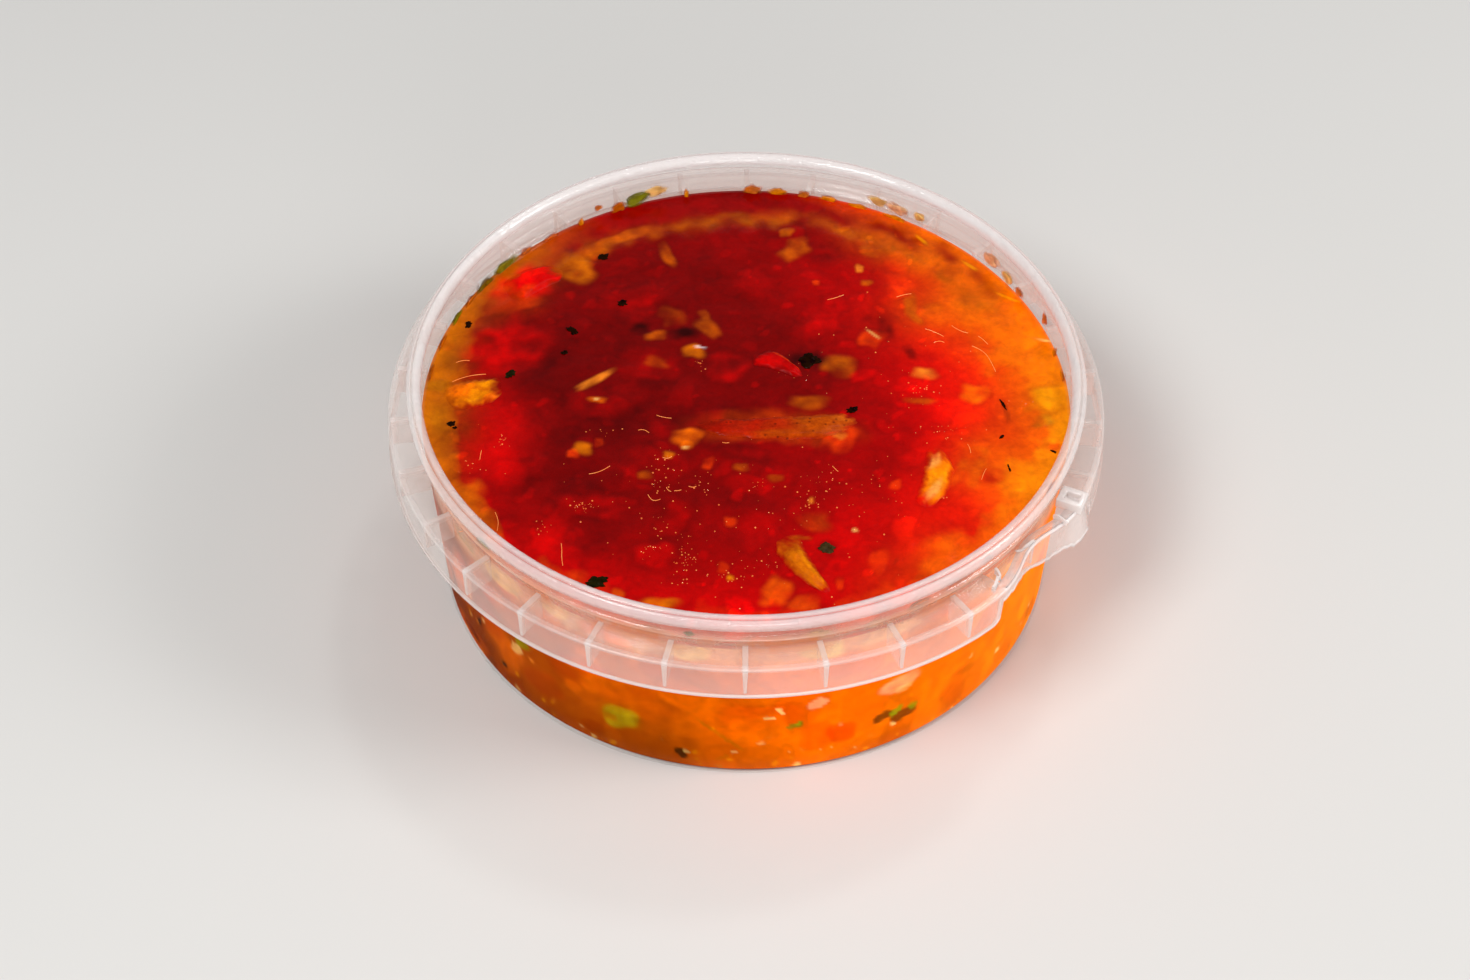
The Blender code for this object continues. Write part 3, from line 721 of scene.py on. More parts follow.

# Pieces in or just under the surface, and among them painted shade, painted glints and painted reflections
# of the ribs: x, y, length, width, turn, shade, strength, rise
patches = (
    (-30.1, 32.4, 7.3, 5.2, -35, "yellow", 0.85, 0.25),
    (-27.4, 37.6, 7.0, 2.6, 34, "tan", 0.5, 0.05),
    (-21.5, 41.4, 8.0, 2.6, 27, "amber", 0.55, 0.05),
    (4.6, -6.3, 24.8, 7.6, 1, "rust", 0.85, 0),
    (-6.4, -5.0, 5.6, 6.0, -6, "red", 0.6, 0),
    (15.8, -9.2, 5.0, 3.6, -40, "mid", 0.9, 0),
    (-14.2, 36.4, 5.3, 1.9, -67, "tan", 0.9, 0.25),
    (-39.5, 27.6, 12.5, 8.6, 38, "bright", 0.8, 0.1),
    (-40.8, 11.8, 14.9, 10.1, 6, "mid", 0.75, 0.15),
    (-43.8, 10.8, 7.0, 6.0, 6, "bright", 0.25, 0.1),
    (-41.5, 17.1, 7.0, 5.3, 36, "bright", 0.25, 0.1),
    (-40.7, 23.1, 9.0, 4.1, 24, "rust", 0.8, 0.05),
    (-12.7, 20.2, 4.2, 4.1, 8, "tan", 0.35, 0.05),
    (-15.5, 15.5, 3.3, 2.1, 8, "tan", 0.85, 0.15),
    (-6.6, 17.4, 5.2, 2.7, -52, "tan", 0.75, 0.15),
    (-7.2, 20.5, 2.7, 1.5, -70, "tan", 0.5, 0.1),
    (-32.7, 12.6, 9.2, 6.1, -50, "deep", 0.5, 0),
    (-22.5, 9.2, 2.1, 3.0, 1, "deep", 0.5, 0),
    (-9.0, 11.6, 3.3, 3.1, 9, "yellow", 0.9, 0.25),
    # painted highlight on the yellow piece
    (-7.9, 12.6, 1.8, 0.5, -14, "white", 0.45, 0.1),
    (-16.4, 8.2, 8.7, 7.4, -6, "red", 0.85, 0.2),
    (-15.2, 8.8, 3.6, 2.4, -15, "tan", 0.35, 0),
    (-25.3, 4.5, 6.6, 1.4, 37, "paleTan", 0.8, 0.2),
    (-24.7, -1.4, 9.0, 6.2, -9, "red", 0.7, 0.1),
    (-24.8, -0.3, 2.4, 1.2, -9, "orange", 0.75, 0.2),
    # painted glint on the orange piece
    (-24.9, -0.2, 0.8, 0.5, -9, "cream", 0.9, 0.1),
    (-3.3, 7.9, 7.2, 5.7, -24, "bright", 0.45, 0.1),
    (-31.8, 40.6, 5.5, 3.8, 24, "rust", 0.6, 0),
    (8.4, 38.0, 5.8, 3.8, 42, "tan", 0.8, 0.2),
    (7.0, 42.5, 2.2, 2.2, -4, "tan", 0.9, 0.15),
    (21.8, 37.8, 3.7, 2.7, -16, "tan", 0.6, 0.1),
    (15.7, 8.3, 4.8, 4.7, -31, "tan", 0.95, 0.3),
    (21.2, 15.0, 3.5, 4.5, -21, "orangeRed", 0.8, 0.3),
    # painted highlight streak on the orange-red piece
    (21.7, 16.1, 2.4, 0.6, -46, "cream", 0.7, 0.1),
    # soft dark patches of painted shade
    (23.7, 17.8, 5.2, 2.4, 89, "black", 0.8, 0),
    (27.9, 11.5, 3.0, 1.9, -70, "black", 0.6, 0),
    (-18.1, 17.1, 3.2, 2.6, 0, "black", 0.85, 0),
    (-10.6, 16.2, 4.4, 2.8, 12, "black", 0.9, 0),
    # painted shadow round the dark herb flake at 10.6, 9.4
    (10.4, 9.8, 5.6, 5.4, 40, "black", 0.85, 0),
    (12.9, -33.0, 3.4, 2.8, -30, "deep", 0.6, 0),
    (28.4, 23.5, 5.2, 2.0, -88, "tan", 0.85, 0.2),
    (29.2, 20.1, 3.0, 1.4, -60, "tan", 0.7, 0.1),
    (19.7, 33.1, 1.4, 1.8, 1, "paleTan", 0.8, 0.15),
    (21.0, 29.3, 1.8, 1.4, -5, "tan", 0.8, 0.1),
    (12.1, 29.2, 1.2, 1.2, 6, "orangeRed", 0.7, 0.1),
    (30.0, 6.6, 3.6, 2.8, -4, "paleTan", 0.8, 0.25),
    (29.0, -0.1, 4.4, 1.2, -8, "tan", 0.6, 0.1),
    (10.5, -0.4, 6.1, 2.7, -6, "tan", 0.75, 0.15),
    (38.2, 1.9, 4.0, 4.0, -16, "orange", 0.6, 0.25),
    (43.2, -2.4, 4.9, 0.9, -80, "brown", 0.5, 0),
    (50.1, 1.0, 4.5, 4.4, -39, "gold", 0.85, 0.25),
    (49.0, -4.6, 3.2, 2.3, 14, "olive", 0.5, 0.1),
    (19.5, 6.1, 4.6, 2.3, 26, "bright", 0.5, 0.1),
    (15.2, 23.3, 3.9, 3.5, -52, "bright", 0.4, 0.15),
    (-20.1, -6.3, 7.7, 6.1, -43, "deep", 0.6, 0),
    (-10.5, -4.0, 5.4, 4.8, -19, "deep", 0.6, 0),
    (-15.8, 3.4, 5.2, 2.7, -5, "deep", 0.6, 0),
    (-2.0, -12.1, 9.1, 3.9, -8, "deep", 0.6, 0),
    (-21.3, -18.1, 3.2, 3.7, -15, "deep", 0.5, 0),
    (15.4, -8.6, 5.6, 5.8, -4, "orangeRed", 0.75, 0.15),
    (15.5, -8.2, 1.8, 1.7, -29, "paleTan", 0.7, 0.1),
    (-9.6, -8.7, 4.4, 3.4, -8, "orange", 0.75, 0.4),
    (-9.6, -10.6, 1.8, 2.0, -28, "orange", 0.75, 0.2),
    # painted glints below the orange piece
    (-9.8, -11.2, 1.1, 0.5, -8, "cream", 0.7, 0.1),
    (-14.3, -14.6, 8.8, 6.2, -22, "red", 0.6, 0.15),
    (-12.5, -12.9, 1.6, 1.3, -17, "yellow", 0.8, 0.15),
    (-26.5, -11.7, 2.8, 2.4, -10, "honey", 0.7, 0.1),
    (-28.1, -12.8, 2.0, 1.8, 1, "orangeRed", 0.6, 0.1),
    (-24.1, -10.2, 1.3, 1.8, 11, "orangeRed", 0.6, 0.1),
    (-6.1, -14.7, 1.7, 2.2, -4, "orangeRed", 0.6, 0.15),
    (-0.7, -15.7, 2.0, 1.6, 3, "tan", 0.6, 0.1),
    (4.9, -18.0, 2.3, 1.2, 4, "tan", 0.55, 0.1),
    (-16.2, -17.5, 2.2, 1.5, 6, "tan", 0.6, 0.1),
    (-2.3, -27.6, 1.7, 2.1, 3, "orangeRed", 0.6, 0.15),
    (-1.2, -21.7, 1.8, 2.5, 1, "bright", 0.5, 0.1),
    (11.2, -27.4, 4.3, 4.3, 23, "rust", 0.8, 0.1),
    (-14.3, -34.8, 5.0, 5.5, -13, "bright", 0.5, 0.15),
    (-11.3, -26.8, 4.3, 6.7, -22, "mid", 0.5, 0.1),
    (-24.2, -24.4, 9.7, 5.3, -9, "mid", 0.5, 0.1),
    (10.5, -22.9, 0.8, 1.1, 1, "paleTan", 0.9, 0.15),
    (8.7, -30.9, 2.7, 0.7, -8, "tan", 0.8, 0.1),
    (-3.4, -37.3, 1.8, 2.0, -12, "orangeRed", 0.5, 0.15),
    (-2.2, -39.3, 1.0, 0.9, 1, "gold", 0.7, 0.15),
    (40.0, -17.3, 3.4, 3.4, 1, "bright", 0.7, 0.1),
    (31.3, -33.8, 9.0, 7.0, 27, "orange", 0.3, 0.05),
    (20.9, -35.7, 2.6, 5.0, -12, "orangeRed", 0.4, 0.05),
    (4.8, -42.2, 4.0, 6.0, -16, "orange", 0.35, 0.05),
    (9.4, -44.5, 4.0, 3.0, -10, "orange", 0.3, 0.05),
    (17.4, -29.2, 0.8, 0.8, 8, "cream", 0.75, 0.15),
    (24.2, -19.2, 1.8, 2.1, 1, "orangeRed", 0.5, 0.1),
    (14.8, -40.3, 1.2, 2.0, 1, "orangeRed", 0.5, 0.1),
    (-44.6, -20.8, 5.0, 4.4, -27, "amber", 0.4, 0.05),
    (-13.4, -44.9, 5.6, 2.4, 3, "honey", 0.7, 0.1),
    (-19.5, -42.6, 1.9, 1.4, -10, "orange", 0.6, 0.1),
    (-29.4, -34.0, 7.1, 3.9, -37, "bright", 0.35, 0.1),
    # painted reflections of the ribs, at the sauce's edge along the far wall
    (31.1, 40.7, 3.0, 0.6, -53, "gold", 0.9, 0.1),
    (39.2, 33.9, 3.0, 0.6, -42, "gold", 0.9, 0.1),
    (45.3, 25.6, 3.4, 0.6, -32, "gold", 0.9, 0.1),
    (50.4, 15.0, 3.4, 0.5, -20, "cream", 0.9, 0.1),
)

salsa = {
    "level": 32.8,
    "intoWall": 0.45,
    "cells": 308,
    "sideSteps": 900,
    "sideRings": 56,
    "relief": 0.14,
    "calmEdge": 3.0,
    # scale and depth of each noise field
    "coarse": (5.5, 0.5),
    "fine": (5.5 / 2.3, 7.5),
    "broad": (9.0, 3.5),
    "wanderX": (2.3, 31.5),
    "wanderY": (2.3, 47.5),
    "broken": (3.4, 17.5),
    "rimDepth": 0.7,
    "rimShrink": 0.995,
    "seed": 11,
    "scatterReach": 52.0,
    # count, smallest and largest size, and tones of chopped pieces and of crumbs
    "scatter": (
        (300, 2.6, 8.0, (0.62, 0.72, 0.82, 1.25, 1.45, 1.7)),
        (420, 0.7, 2.2, (0.6, 0.75, 1.4, 1.7, 2.1)),
    ),
    # the scattered pieces get fainter from this x to this one
    "fainter": (24, 40),
    # the rings along the far wall begin at these angles from the front
    "backFade": (118, 138),
    "shadow": 0.22,
    "meniscus": (0.22, 0.5),
}


def noiseField(x, y, scale, depth):
    return np.array([noise.noise(Vector((a / scale, b / scale, depth))) for a, b in zip(x, y)])


def patchMask(x, y, patch, softness, margin=1.0):
    # 1 inside a roughly cut outline, 0 outside it
    centreX, centreY, length, width, turn = patch
    along, across = turned(x - centreX, y - centreY, -turn)
    along, across = along / (length / 2), across / (width / 2)
    angle = np.arctan2(across, along)
    own = centreX * 3.7 + centreY * 5.3
    ragged = 1 + 0.09 * np.sin(2 * angle + own) + 0.07 * np.sin(3 * angle + own * 1.7)
    ragged += 0.04 * np.sin(5 * angle + own * 2.3)
    reach = (np.abs(along) ** 3 + np.abs(across) ** 3) ** (1 / 3) / (ragged * margin)
    return smoothStep(-reach, -1 - softness / 2, -1 + softness / 2)


def scatterChunks():
    # chopped vegetables and crumbs at random: patch, softness, tint, strength, rise
    rng = random.Random(salsa["seed"])
    found = []
    for count, smallest, largest, tones in salsa["scatter"]:
        for index in range(count):
            reach = salsa["scatterReach"] * math.sqrt(rng.random())
            turn = rng.uniform(0, 2 * math.pi)
            size = smallest + (largest - smallest) * rng.random() ** 1.6
            place = (reach * math.cos(turn), reach * math.sin(turn))
            long, wide, spin = rng.uniform(0.9, 1.4), rng.uniform(0.55, 1.0), rng.uniform(0, 180)
            patch = (*place, size * long, size * wide, spin)
            lightness = rng.choice(tones)
            tint = np.array((lightness, lightness * rng.uniform(0.7, 1.5), lightness))
            softness, strength = rng.uniform(0.45, 0.95), rng.uniform(0.2, 0.6)
            strength *= 1 - 0.55 * smoothStep(place[0], *salsa["fainter"])
            found.append((patch, softness, tint, strength, 0.02 * (lightness > 1)))
    return found


scattered = scatterChunks()


def paintZones(x, y):
    colour = np.tile(tone("red"), (len(x), 1))
    for centreX, centreY, length, width, turn, shade, strength in zones:
        along, across = turned(x - centreX, y - centreY, -turn)
        share = strength * np.exp(-((along / length) ** 2 + (across / width) ** 2) * 1.4)[:, None]
        colour = blend(colour, tone(shade), share)
    return colour


def paintGlow(colour, x, y, edge, wander):
    angle = angleAt(x, y)
    stops, depths, names = zip(*edgeGlow)
    reach = np.interp(angle, stops, depths) * (1 + 0.8 * wander)
    lit = np.array([tone(name) for name in names])
    glow = np.column_stack([np.interp(angle, stops, lit[:, part]) for part in range(3)])
    inside = edge - np.hypot(x, y)
    colour = blend(colour, glow, 0.9 * np.clip(1 - inside / reach, 0, 1)[:, None] ** 0.8)
    broken = noiseField(x, y, *salsa["broken"])
    backward = smoothStep(np.abs(angle + 8), *salsa["backFade"]) * (0.85 + 1.1 * broken).clip(0.15, 1.3)
    for depth, width, shade, strength in backRings:
        away = (inside - depth - 1.6 * wander - 1.2 * broken) / width
        share = (strength * backward * np.exp(-away * away))[:, None].clip(0, 1)
        colour = blend(colour, tone(shade), share)
    return colour


def saucePaint(x, y):
    # colour and height of the sauce at any places, so that every piece can blend into it
    edge = wallRadius(salsa["level"]) - tub["wallThickness"]
    # outlines wander, so that no piece is cut clean
    fields = ("coarse", "fine", "broad", "wanderX", "wanderY")
    coarse, fine, broad, wanderX, wanderY = [noiseField(x, y, *salsa[name]) for name in fields]
    shift = 2.4 * broad + 0.8 * fine
    colour = paintZones(x + shift, y + 2.4 * coarse)
    colour = paintGlow(colour, x, y, edge, broad + 0.5 * fine)
    height = salsa["relief"] * (coarse + 0.4 * fine)
    for patch, softness, tint, strength, rise in scattered:
        near = np.nonzero(np.hypot(x - patch[0], y - patch[1]) < patch[2])[0]
        if len(near) == 0:
            continue
        loose = min(0.9, patch[3] / 5)
        placeX = x[near] + loose * wanderX[near]
        placeY = y[near] + loose * wanderY[near]
        shadow = patchMask(placeX, placeY, patch, 0.8, 1.25)[:, None]
        mask = patchMask(placeX, placeY, patch, softness)[:, None]
        colour[near] *= 1 - salsa["shadow"] * strength * (shadow - mask).clip(0)
        colour[near] *= 1 + (tint - 1) * mask * strength
        height[near] += rise * mask[:, 0]
    for centreX, centreY, length, width, turn, shade, strength, rise in patches:
        patch = (centreX, centreY, length, width, turn)
        near = np.nonzero(np.hypot(x - centreX, y - centreY) < max(length, width))[0]
        if len(near) == 0:
            continue
        loose = min(0.7, width / 8)
        placeX = x[near] + loose * wanderX[near]
        placeY = y[near] + loose * wanderY[near]
        shadow = patchMask(placeX, placeY, patch, 0.9, 1.3)[:, None]
        softness = 1.2 if shade == "black" else min(1.2, 0.6 + 0.5 / width)
        mask = patchMask(placeX, placeY, patch, softness)[:, None]
        colour[near] *= 1 - salsa["shadow"] * (shadow - mask).clip(0) * (rise > 0)
        mottle = (0.95 + 0.45 * fine[near] + 0.25 * wanderY[near])[:, None]
        patchy = (0.85 + 0.6 * wanderX[near] + 0.45 * fine[near])[:, None].clip(0, 1)
        colour[near] = blend(colour[near], tone(shade) * mottle, mask * strength * patchy)
        height[near] += rise * 0.25 * mask[:, 0]
    inside = edge - np.hypot(x, y)
    calm = np.clip(inside / salsa["calmEdge"], 0, 1)
    climb, width = salsa["meniscus"]
    return colour, salsa["level"] + height * calm + climb * np.exp(-inside.clip(0) / width)


wet = {
    "grainScale": 820.0,
    "pulpScale": 300.0,
    "spread": (0.36, 0.64),
    "ior": 1.34,
    "bump": (0.12, 0.0004),
    # depth of the grain, strength of the painted glow that stands for light scattered through the sauce, and
    # shine
    "wetSalsa": (0.14, 0.06, 0.22),
    "salsaThroughWall": (0.08, 0.26, 0.0),
}


def sauceFinish(name):
    finish = Finish(name)
    grainDepth, glow, shine = wet[name]
    base = finish.attribute("paint")
    grain = finish.noise(wet["grainScale"], 3.0, 0.6)
    pulp = finish.noise(wet["pulpScale"], 3.0, 0.6, 1.2)
    darker = finish.tinted(base, 1 - grainDepth, 1 - grainDepth * 1.3, 1)
    lighter = finish.tinted(base, 1 + grainDepth, 1 + grainDepth * 1.8, 1)
    spread = finish.ranged(grain * 0.45 + pulp * 0.55, *wet["spread"])
    # the sauce's colour also glows: painted light for light scattered through it
    finish.glowing(finish.mixed(spread, darker, lighter), glow)
    finish.set(Roughness=pulp * 0.10 + 0.05, IOR=wet["ior"], Specular_IOR_Level=shine)
    return finish.bump(grain * 0.5 + pulp, *wet["bump"])


def makeSurface():
    deselectAll()
    cells = salsa["cells"]
    bpy.ops.mesh.primitive_grid_add(x_subdivisions=cells, y_subdivisions=cells, size=2)
    made = bpy.context.object
    made.name = "salsaSurface"
    places = meshPlaces(made) * mm
    # the square grid is drawn out to a disc, so that its cells stay even
    edge = wallRadius(salsa["level"]) - tub["wallThickness"] + salsa["intoWall"]
    x = places[:, 0] * np.sqrt(1 - places[:, 1] ** 2 / 2) * edge
    y = places[:, 1] * np.sqrt(1 - places[:, 0] ** 2 / 2) * edge
    colour, height = saucePaint(x, y)
    setPlaces(made, np.column_stack([x, y, height]))
    # a rim folded down and in, and a flat underside, close the piece
    bpy.ops.object.mode_set(mode='EDIT')
    bpy.ops.mesh.select_mode(type='EDGE')
    bpy.ops.mesh.select_all(action='DESELECT')
    bpy.ops.mesh.select_non_manifold()
    bpy.ops.mesh.extrude_edges_move(TRANSFORM_OT_translate={"value": (0, 0, -salsa["rimDepth"] * mm)})
    shrink = salsa["rimShrink"]
    bpy.ops.transform.resize(value=(shrink, shrink, 1), center_override=(0, 0, 0))
    bpy.ops.mesh.edge_face_add()
    facesOutwards()
    bpy.ops.object.shade_smooth_by_angle(angle=math.radians(60))
    rim = meshPlaces(made)[len(x):]
    paint(made, np.vstack([colour, saucePaint(rim[:, 0], rim[:, 1])[0]]))
    return dress(made, sauceFinish("wetSalsa"), "salsa", "salsa")


# What shows through the wall: angle, height, length, width, turn, shade, strength
throughWall = (
    (-9.0, 31.0, 6.0, 3.6, 0, "cream", 0.7),
    (-24.0, 30.8, 9.0, 3.4, 0, "orange", 0.7),
    (-33.0, 31.4, 5.0, 3.0, 0, "cream", 0.7),
    (-45.0, 30.4, 9.0, 4.0, 10, "cream", 0.6),
    (-56.0, 31.2, 6.0, 3.4, 0, "olive", 0.5),
    (13.0, 31.0, 6.5, 4.2, 0, "cream", 0.75),
    (25.0, 31.2, 9.0, 3.0, 0, "peach", 0.6),
    (37.0, 30.6, 7.0, 3.6, 10, "orange", 0.6),
    (50.0, 30.8, 8.0, 4.0, 0, "peach", 0.6),
    (-14.0, 11.0, 10.0, 13.0, 20, "amber", 0.45),
    (2.4, 11.6, 9.0, 8.0, 10, "orange", 0.5),
    (-24.0, 16.0, 9.0, 7.0, -20, "amber", 0.5),
    (-38.0, 9.0, 8.0, 6.0, 30, "rust", 0.35),
    (-52.0, 15.0, 8.0, 7.0, 0, "rust", 0.4),
    (17.2, 8.2, 5.0, 5.0, 0, "scarlet", 0.45),
    (38.0, 12.0, 9.0, 8.0, 10, "orange", 0.5),
    (25.0, 9.0, 3.6, 2.2, 24, "leaf", 0.75),
    (29.0, 7.6, 5.0, 2.6, 12, "leaf", 0.7),
    (27.5, 9.2, 2.6, 1.6, 30, "green", 0.8),
    (31.0, 8.8, 2.0, 1.6, 0, "green", 0.7),
    (8.9, 12.2, 2.6, 1.4, 20, "olive", 0.85),
    (9.4, 12.6, 1.2, 0.8, 20, "green", 0.8),
    (-22.0, 10.2, 8.0, 7.0, 10, "yellow", 0.4),
    (-22.0, 9.8, 6.4, 5.6, 10, "moss", 0.75),
    (-21.6, 9.9, 4.0, 3.0, 10, "moss", 0.5),
    (-24.0, 9.0, 2.4, 1.8, 10, "yellow", 0.5),
    (-3.8, 9.9, 9.6, 0.8, -46, "yellow", 0.85),
    (-3.7, 3.9, 2.6, 0.8, 40, "yellow", 0.8),
    (-11.0, 4.0, 2.6, 1.8, -60, "leaf", 0.85),
    (-10.0, 4.6, 1.1, 0.8, -40, "cream", 0.95),
    (4.5, 14.7, 1.8, 0.8, -20, "cream", 0.8),
    (6.2, 16.4, 1.9, 0.9, -60, "cream", 0.8),
    (12.6, 17.3, 3.4, 2.2, 40, "peach", 0.45),
    (27.8, 16.6, 7.0, 3.6, 20, "peach", 0.36),
    (28.6, 14.8, 3.0, 1.8, 20, "cream", 0.3),
    (-48.7, 5.5, 1.8, 1.2, 30, "leaf", 0.85),
    (-55.7, 10.5, 2.2, 1.1, 60, "leaf", 0.8),
    (-44.0, 13.5, 3.4, 2.0, 40, "cream", 0.55),
    (-42.3, 16.2, 3.0, 2.4, 0, "green", 0.6),
    (-60.7, 3.5, 6.0, 2.4, 0, "brown", 0.7),
    (62.0, 10.0, 6.0, 5.0, 0, "gold", 0.4),
    (80.0, 6.0, 5.0, 2.4, -20, "cream", 0.4),
    (92.0, 14.0, 6.0, 5.0, 30, "orangeRed", 0.6),
    (110.0, 20.0, 4.0, 2.0, -30, "leaf", 0.7),
    (128.0, 9.0, 7.0, 4.0, 10, "gold", 0.5),
    (150.0, 14.0, 5.0, 3.0, 30, "leaf", 0.6),
    (172.0, 19.0, 8.0, 5.0, 0, "scarlet", 0.5),
    (-170.0, 8.0, 5.0, 3.0, 60, "cream", 0.5),
    (-140.0, 10.0, 5.0, 4.0, 20, "green", 0.6),
    (-120.0, 18.0, 7.0, 5.0, -10, "scarlet", 0.5),
    (-100.0, 8.0, 8.0, 1.0, 20, "yellow", 0.8),
    (-82.0, 16.0, 4.0, 2.4, 40, "cream", 0.5),
)


# The sauce behind the clear wall. Its tones are those of a screen, at angles round the tub, and hold painted
# light: brighter on the right and darker on the left.
body = {
    "corner": 0.7,
    "inFloor": 0.45,
    "tones": (
        (-180, (206, 78, 0)),
        (-90, (144, 50, 0)),
        (-55, (142, 54, 0)),
        (-25, (184, 76, 0)),
        (5, (236, 98, 0)),
        (35, (248, 112, 0)),
        (60, (250, 126, 0)),
        (100, (244, 108, 0)),
        (180, (206, 78, 0)),
    ),
    "paleUnderRim": 0.62,
    "chunks": 260,
    "chunkSize": (3.0, 11.0),
    "chunkShades": ("orangeRed", "orange", "amber", "orange", "tan", "rust"),
    "seeds": 240,
    "seedSize": (0.35, 1.3),
    "seedShades": ("gold", "cream", "paleTan"),
    "rough": (2.6, 5.5),
    "cloud": (9.0, 9.5),
    # angles where the dark of the left side ends, and where it begins behind
    "leftEnd": (-16, 16),
    "leftStart": (-160, -90),
    "leftDark": 0.4,
    # more of it round one angle
    "darkest": (-16, 12, 0.25),
    "footDark": 0.35,
}


def bodySection():
    level, rings, corner = salsa["level"], salsa["sideRings"], body["corner"]
    into = salsa["intoWall"] - tub["wallThickness"]
    bottom = tub["floorThickness"] - body["inFloor"]
    lowest = bottom + corner
    section = [(wallRadius(level) + into - 0.02, level)]
    for index in range(1, rings + 1):
        height = level + (lowest - level) * index / rings
        section.append((wallRadius(height) + into, height))
    for step in range(1, 5):
        turn = math.radians(-22.5 * step)
        across = wallRadius(lowest) + into - corner * (1 - math.cos(turn))
        section.append((across, lowest + corner * math.sin(turn)))
    return section + [(30, bottom), (1, bottom)]


def makeBody():
    level = salsa["level"]
    made = extrudeProfile("salsaBody", bodySection(), salsa["sideSteps"], True)
    x, y, height = meshPlaces(made).T
    angle = angleAt(x, y)
    around = np.radians(angle) * wallRadius(level)
    stops = [stop for stop, shown in body["tones"]]
    lit = np.array([display(*shown) for stop, shown in body["tones"]])
    wall = np.column_stack([np.interp(angle, stops, lit[:, part]) for part in range(3)])
    rough = noiseField(around, height, *body["rough"])
    cloud = noiseField(around, height, *body["cloud"])
    wall *= (1 + 0.25 * cloud + 0.08 * rough)[:, None]
    # paler under the rim, where light falls in
    share = body["paleUnderRim"] * smoothStep(height, 25.5, 31.5) * (1 + 0.8 * cloud).clip(0, 1.6)
    wall = blend(wall, tone("peach"), share[:, None].clip(0, 1))
    rng = random.Random(salsa["seed"] + 1)
    girth = math.pi * wallRadius(level)
    for index in range(body["chunks"]):
        # a colour that is stronger inside, and a painted shadow round its outline
        size = rng.uniform(*body["chunkSize"])
        place = (rng.uniform(-girth, girth), rng.uniform(0, level))
        patch = (*place, size * rng.uniform(0.9, 1.5), size * rng.uniform(0.6, 1.0), rng.uniform(0, 180))
        near = np.hypot(around - patch[0], height - patch[1]) < size * 1.6
        outlineShade = patchMask(around[near], height[near], patch, 0.12)
        inside = patchMask(around[near], height[near], patch, 0.5, 0.93)
        shade = tone(rng.choice(body["chunkShades"]))
        wall[near] = blend(wall[near], shade, (inside * rng.uniform(0.1, 0.4))[:, None])
        wall[near] *= 1 - 0.18 * (outlineShade - inside).clip(0)[:, None]
    for index in range(body["seeds"]):
        size = rng.uniform(*body["seedSize"])
        place = (rng.uniform(-girth, girth), 1.2 + 14 * rng.random() ** 2.2)
        patch = (*place, size, size * 0.8, rng.uniform(0, 180))
        near = np.hypot(around - patch[0], height - patch[1]) < size * 1.6
        share = (patchMask(around[near], height[near], patch, 0.6) * rng.uniform(0.3, 0.8))[:, None]
        wall[near] = blend(wall[near], tone(rng.choice(body["seedShades"])), share)
    for angleSeen, heightSeen, length, width, turn, shade, strength in throughWall:
        patch = (math.radians(angleSeen) * wallRadius(level), heightSeen, length, width, turn)
        near = np.hypot(around - patch[0], height - heightSeen) < max(length, width)
        share = patchMask(around[near], height[near], patch, 0.35)[:, None] * strength
        wall[near] = blend(wall[near], tone(shade) * (1 + 0.5 * rough[near])[:, None], share)
    # painted shade: darker low down at the left, away from the light, and darker at the foot
    middle, spread, more = body["darkest"]
    leftness = (1 - smoothStep(angle, *body["leftEnd"])) * smoothStep(angle, *body["leftStart"])
    leftness *= body["leftDark"] + more * np.exp(-((angle - middle) / spread) ** 2)
    wall *= (1 - leftness * smoothStep(-height, -20, -2))[:, None]
    wall *= (1 - body["footDark"] * smoothStep(-height, -1.0, -0.6))[:, None]
    paint(made, wall)
    return dress(made, sauceFinish("salsaThroughWall"), "salsa", "salsa")


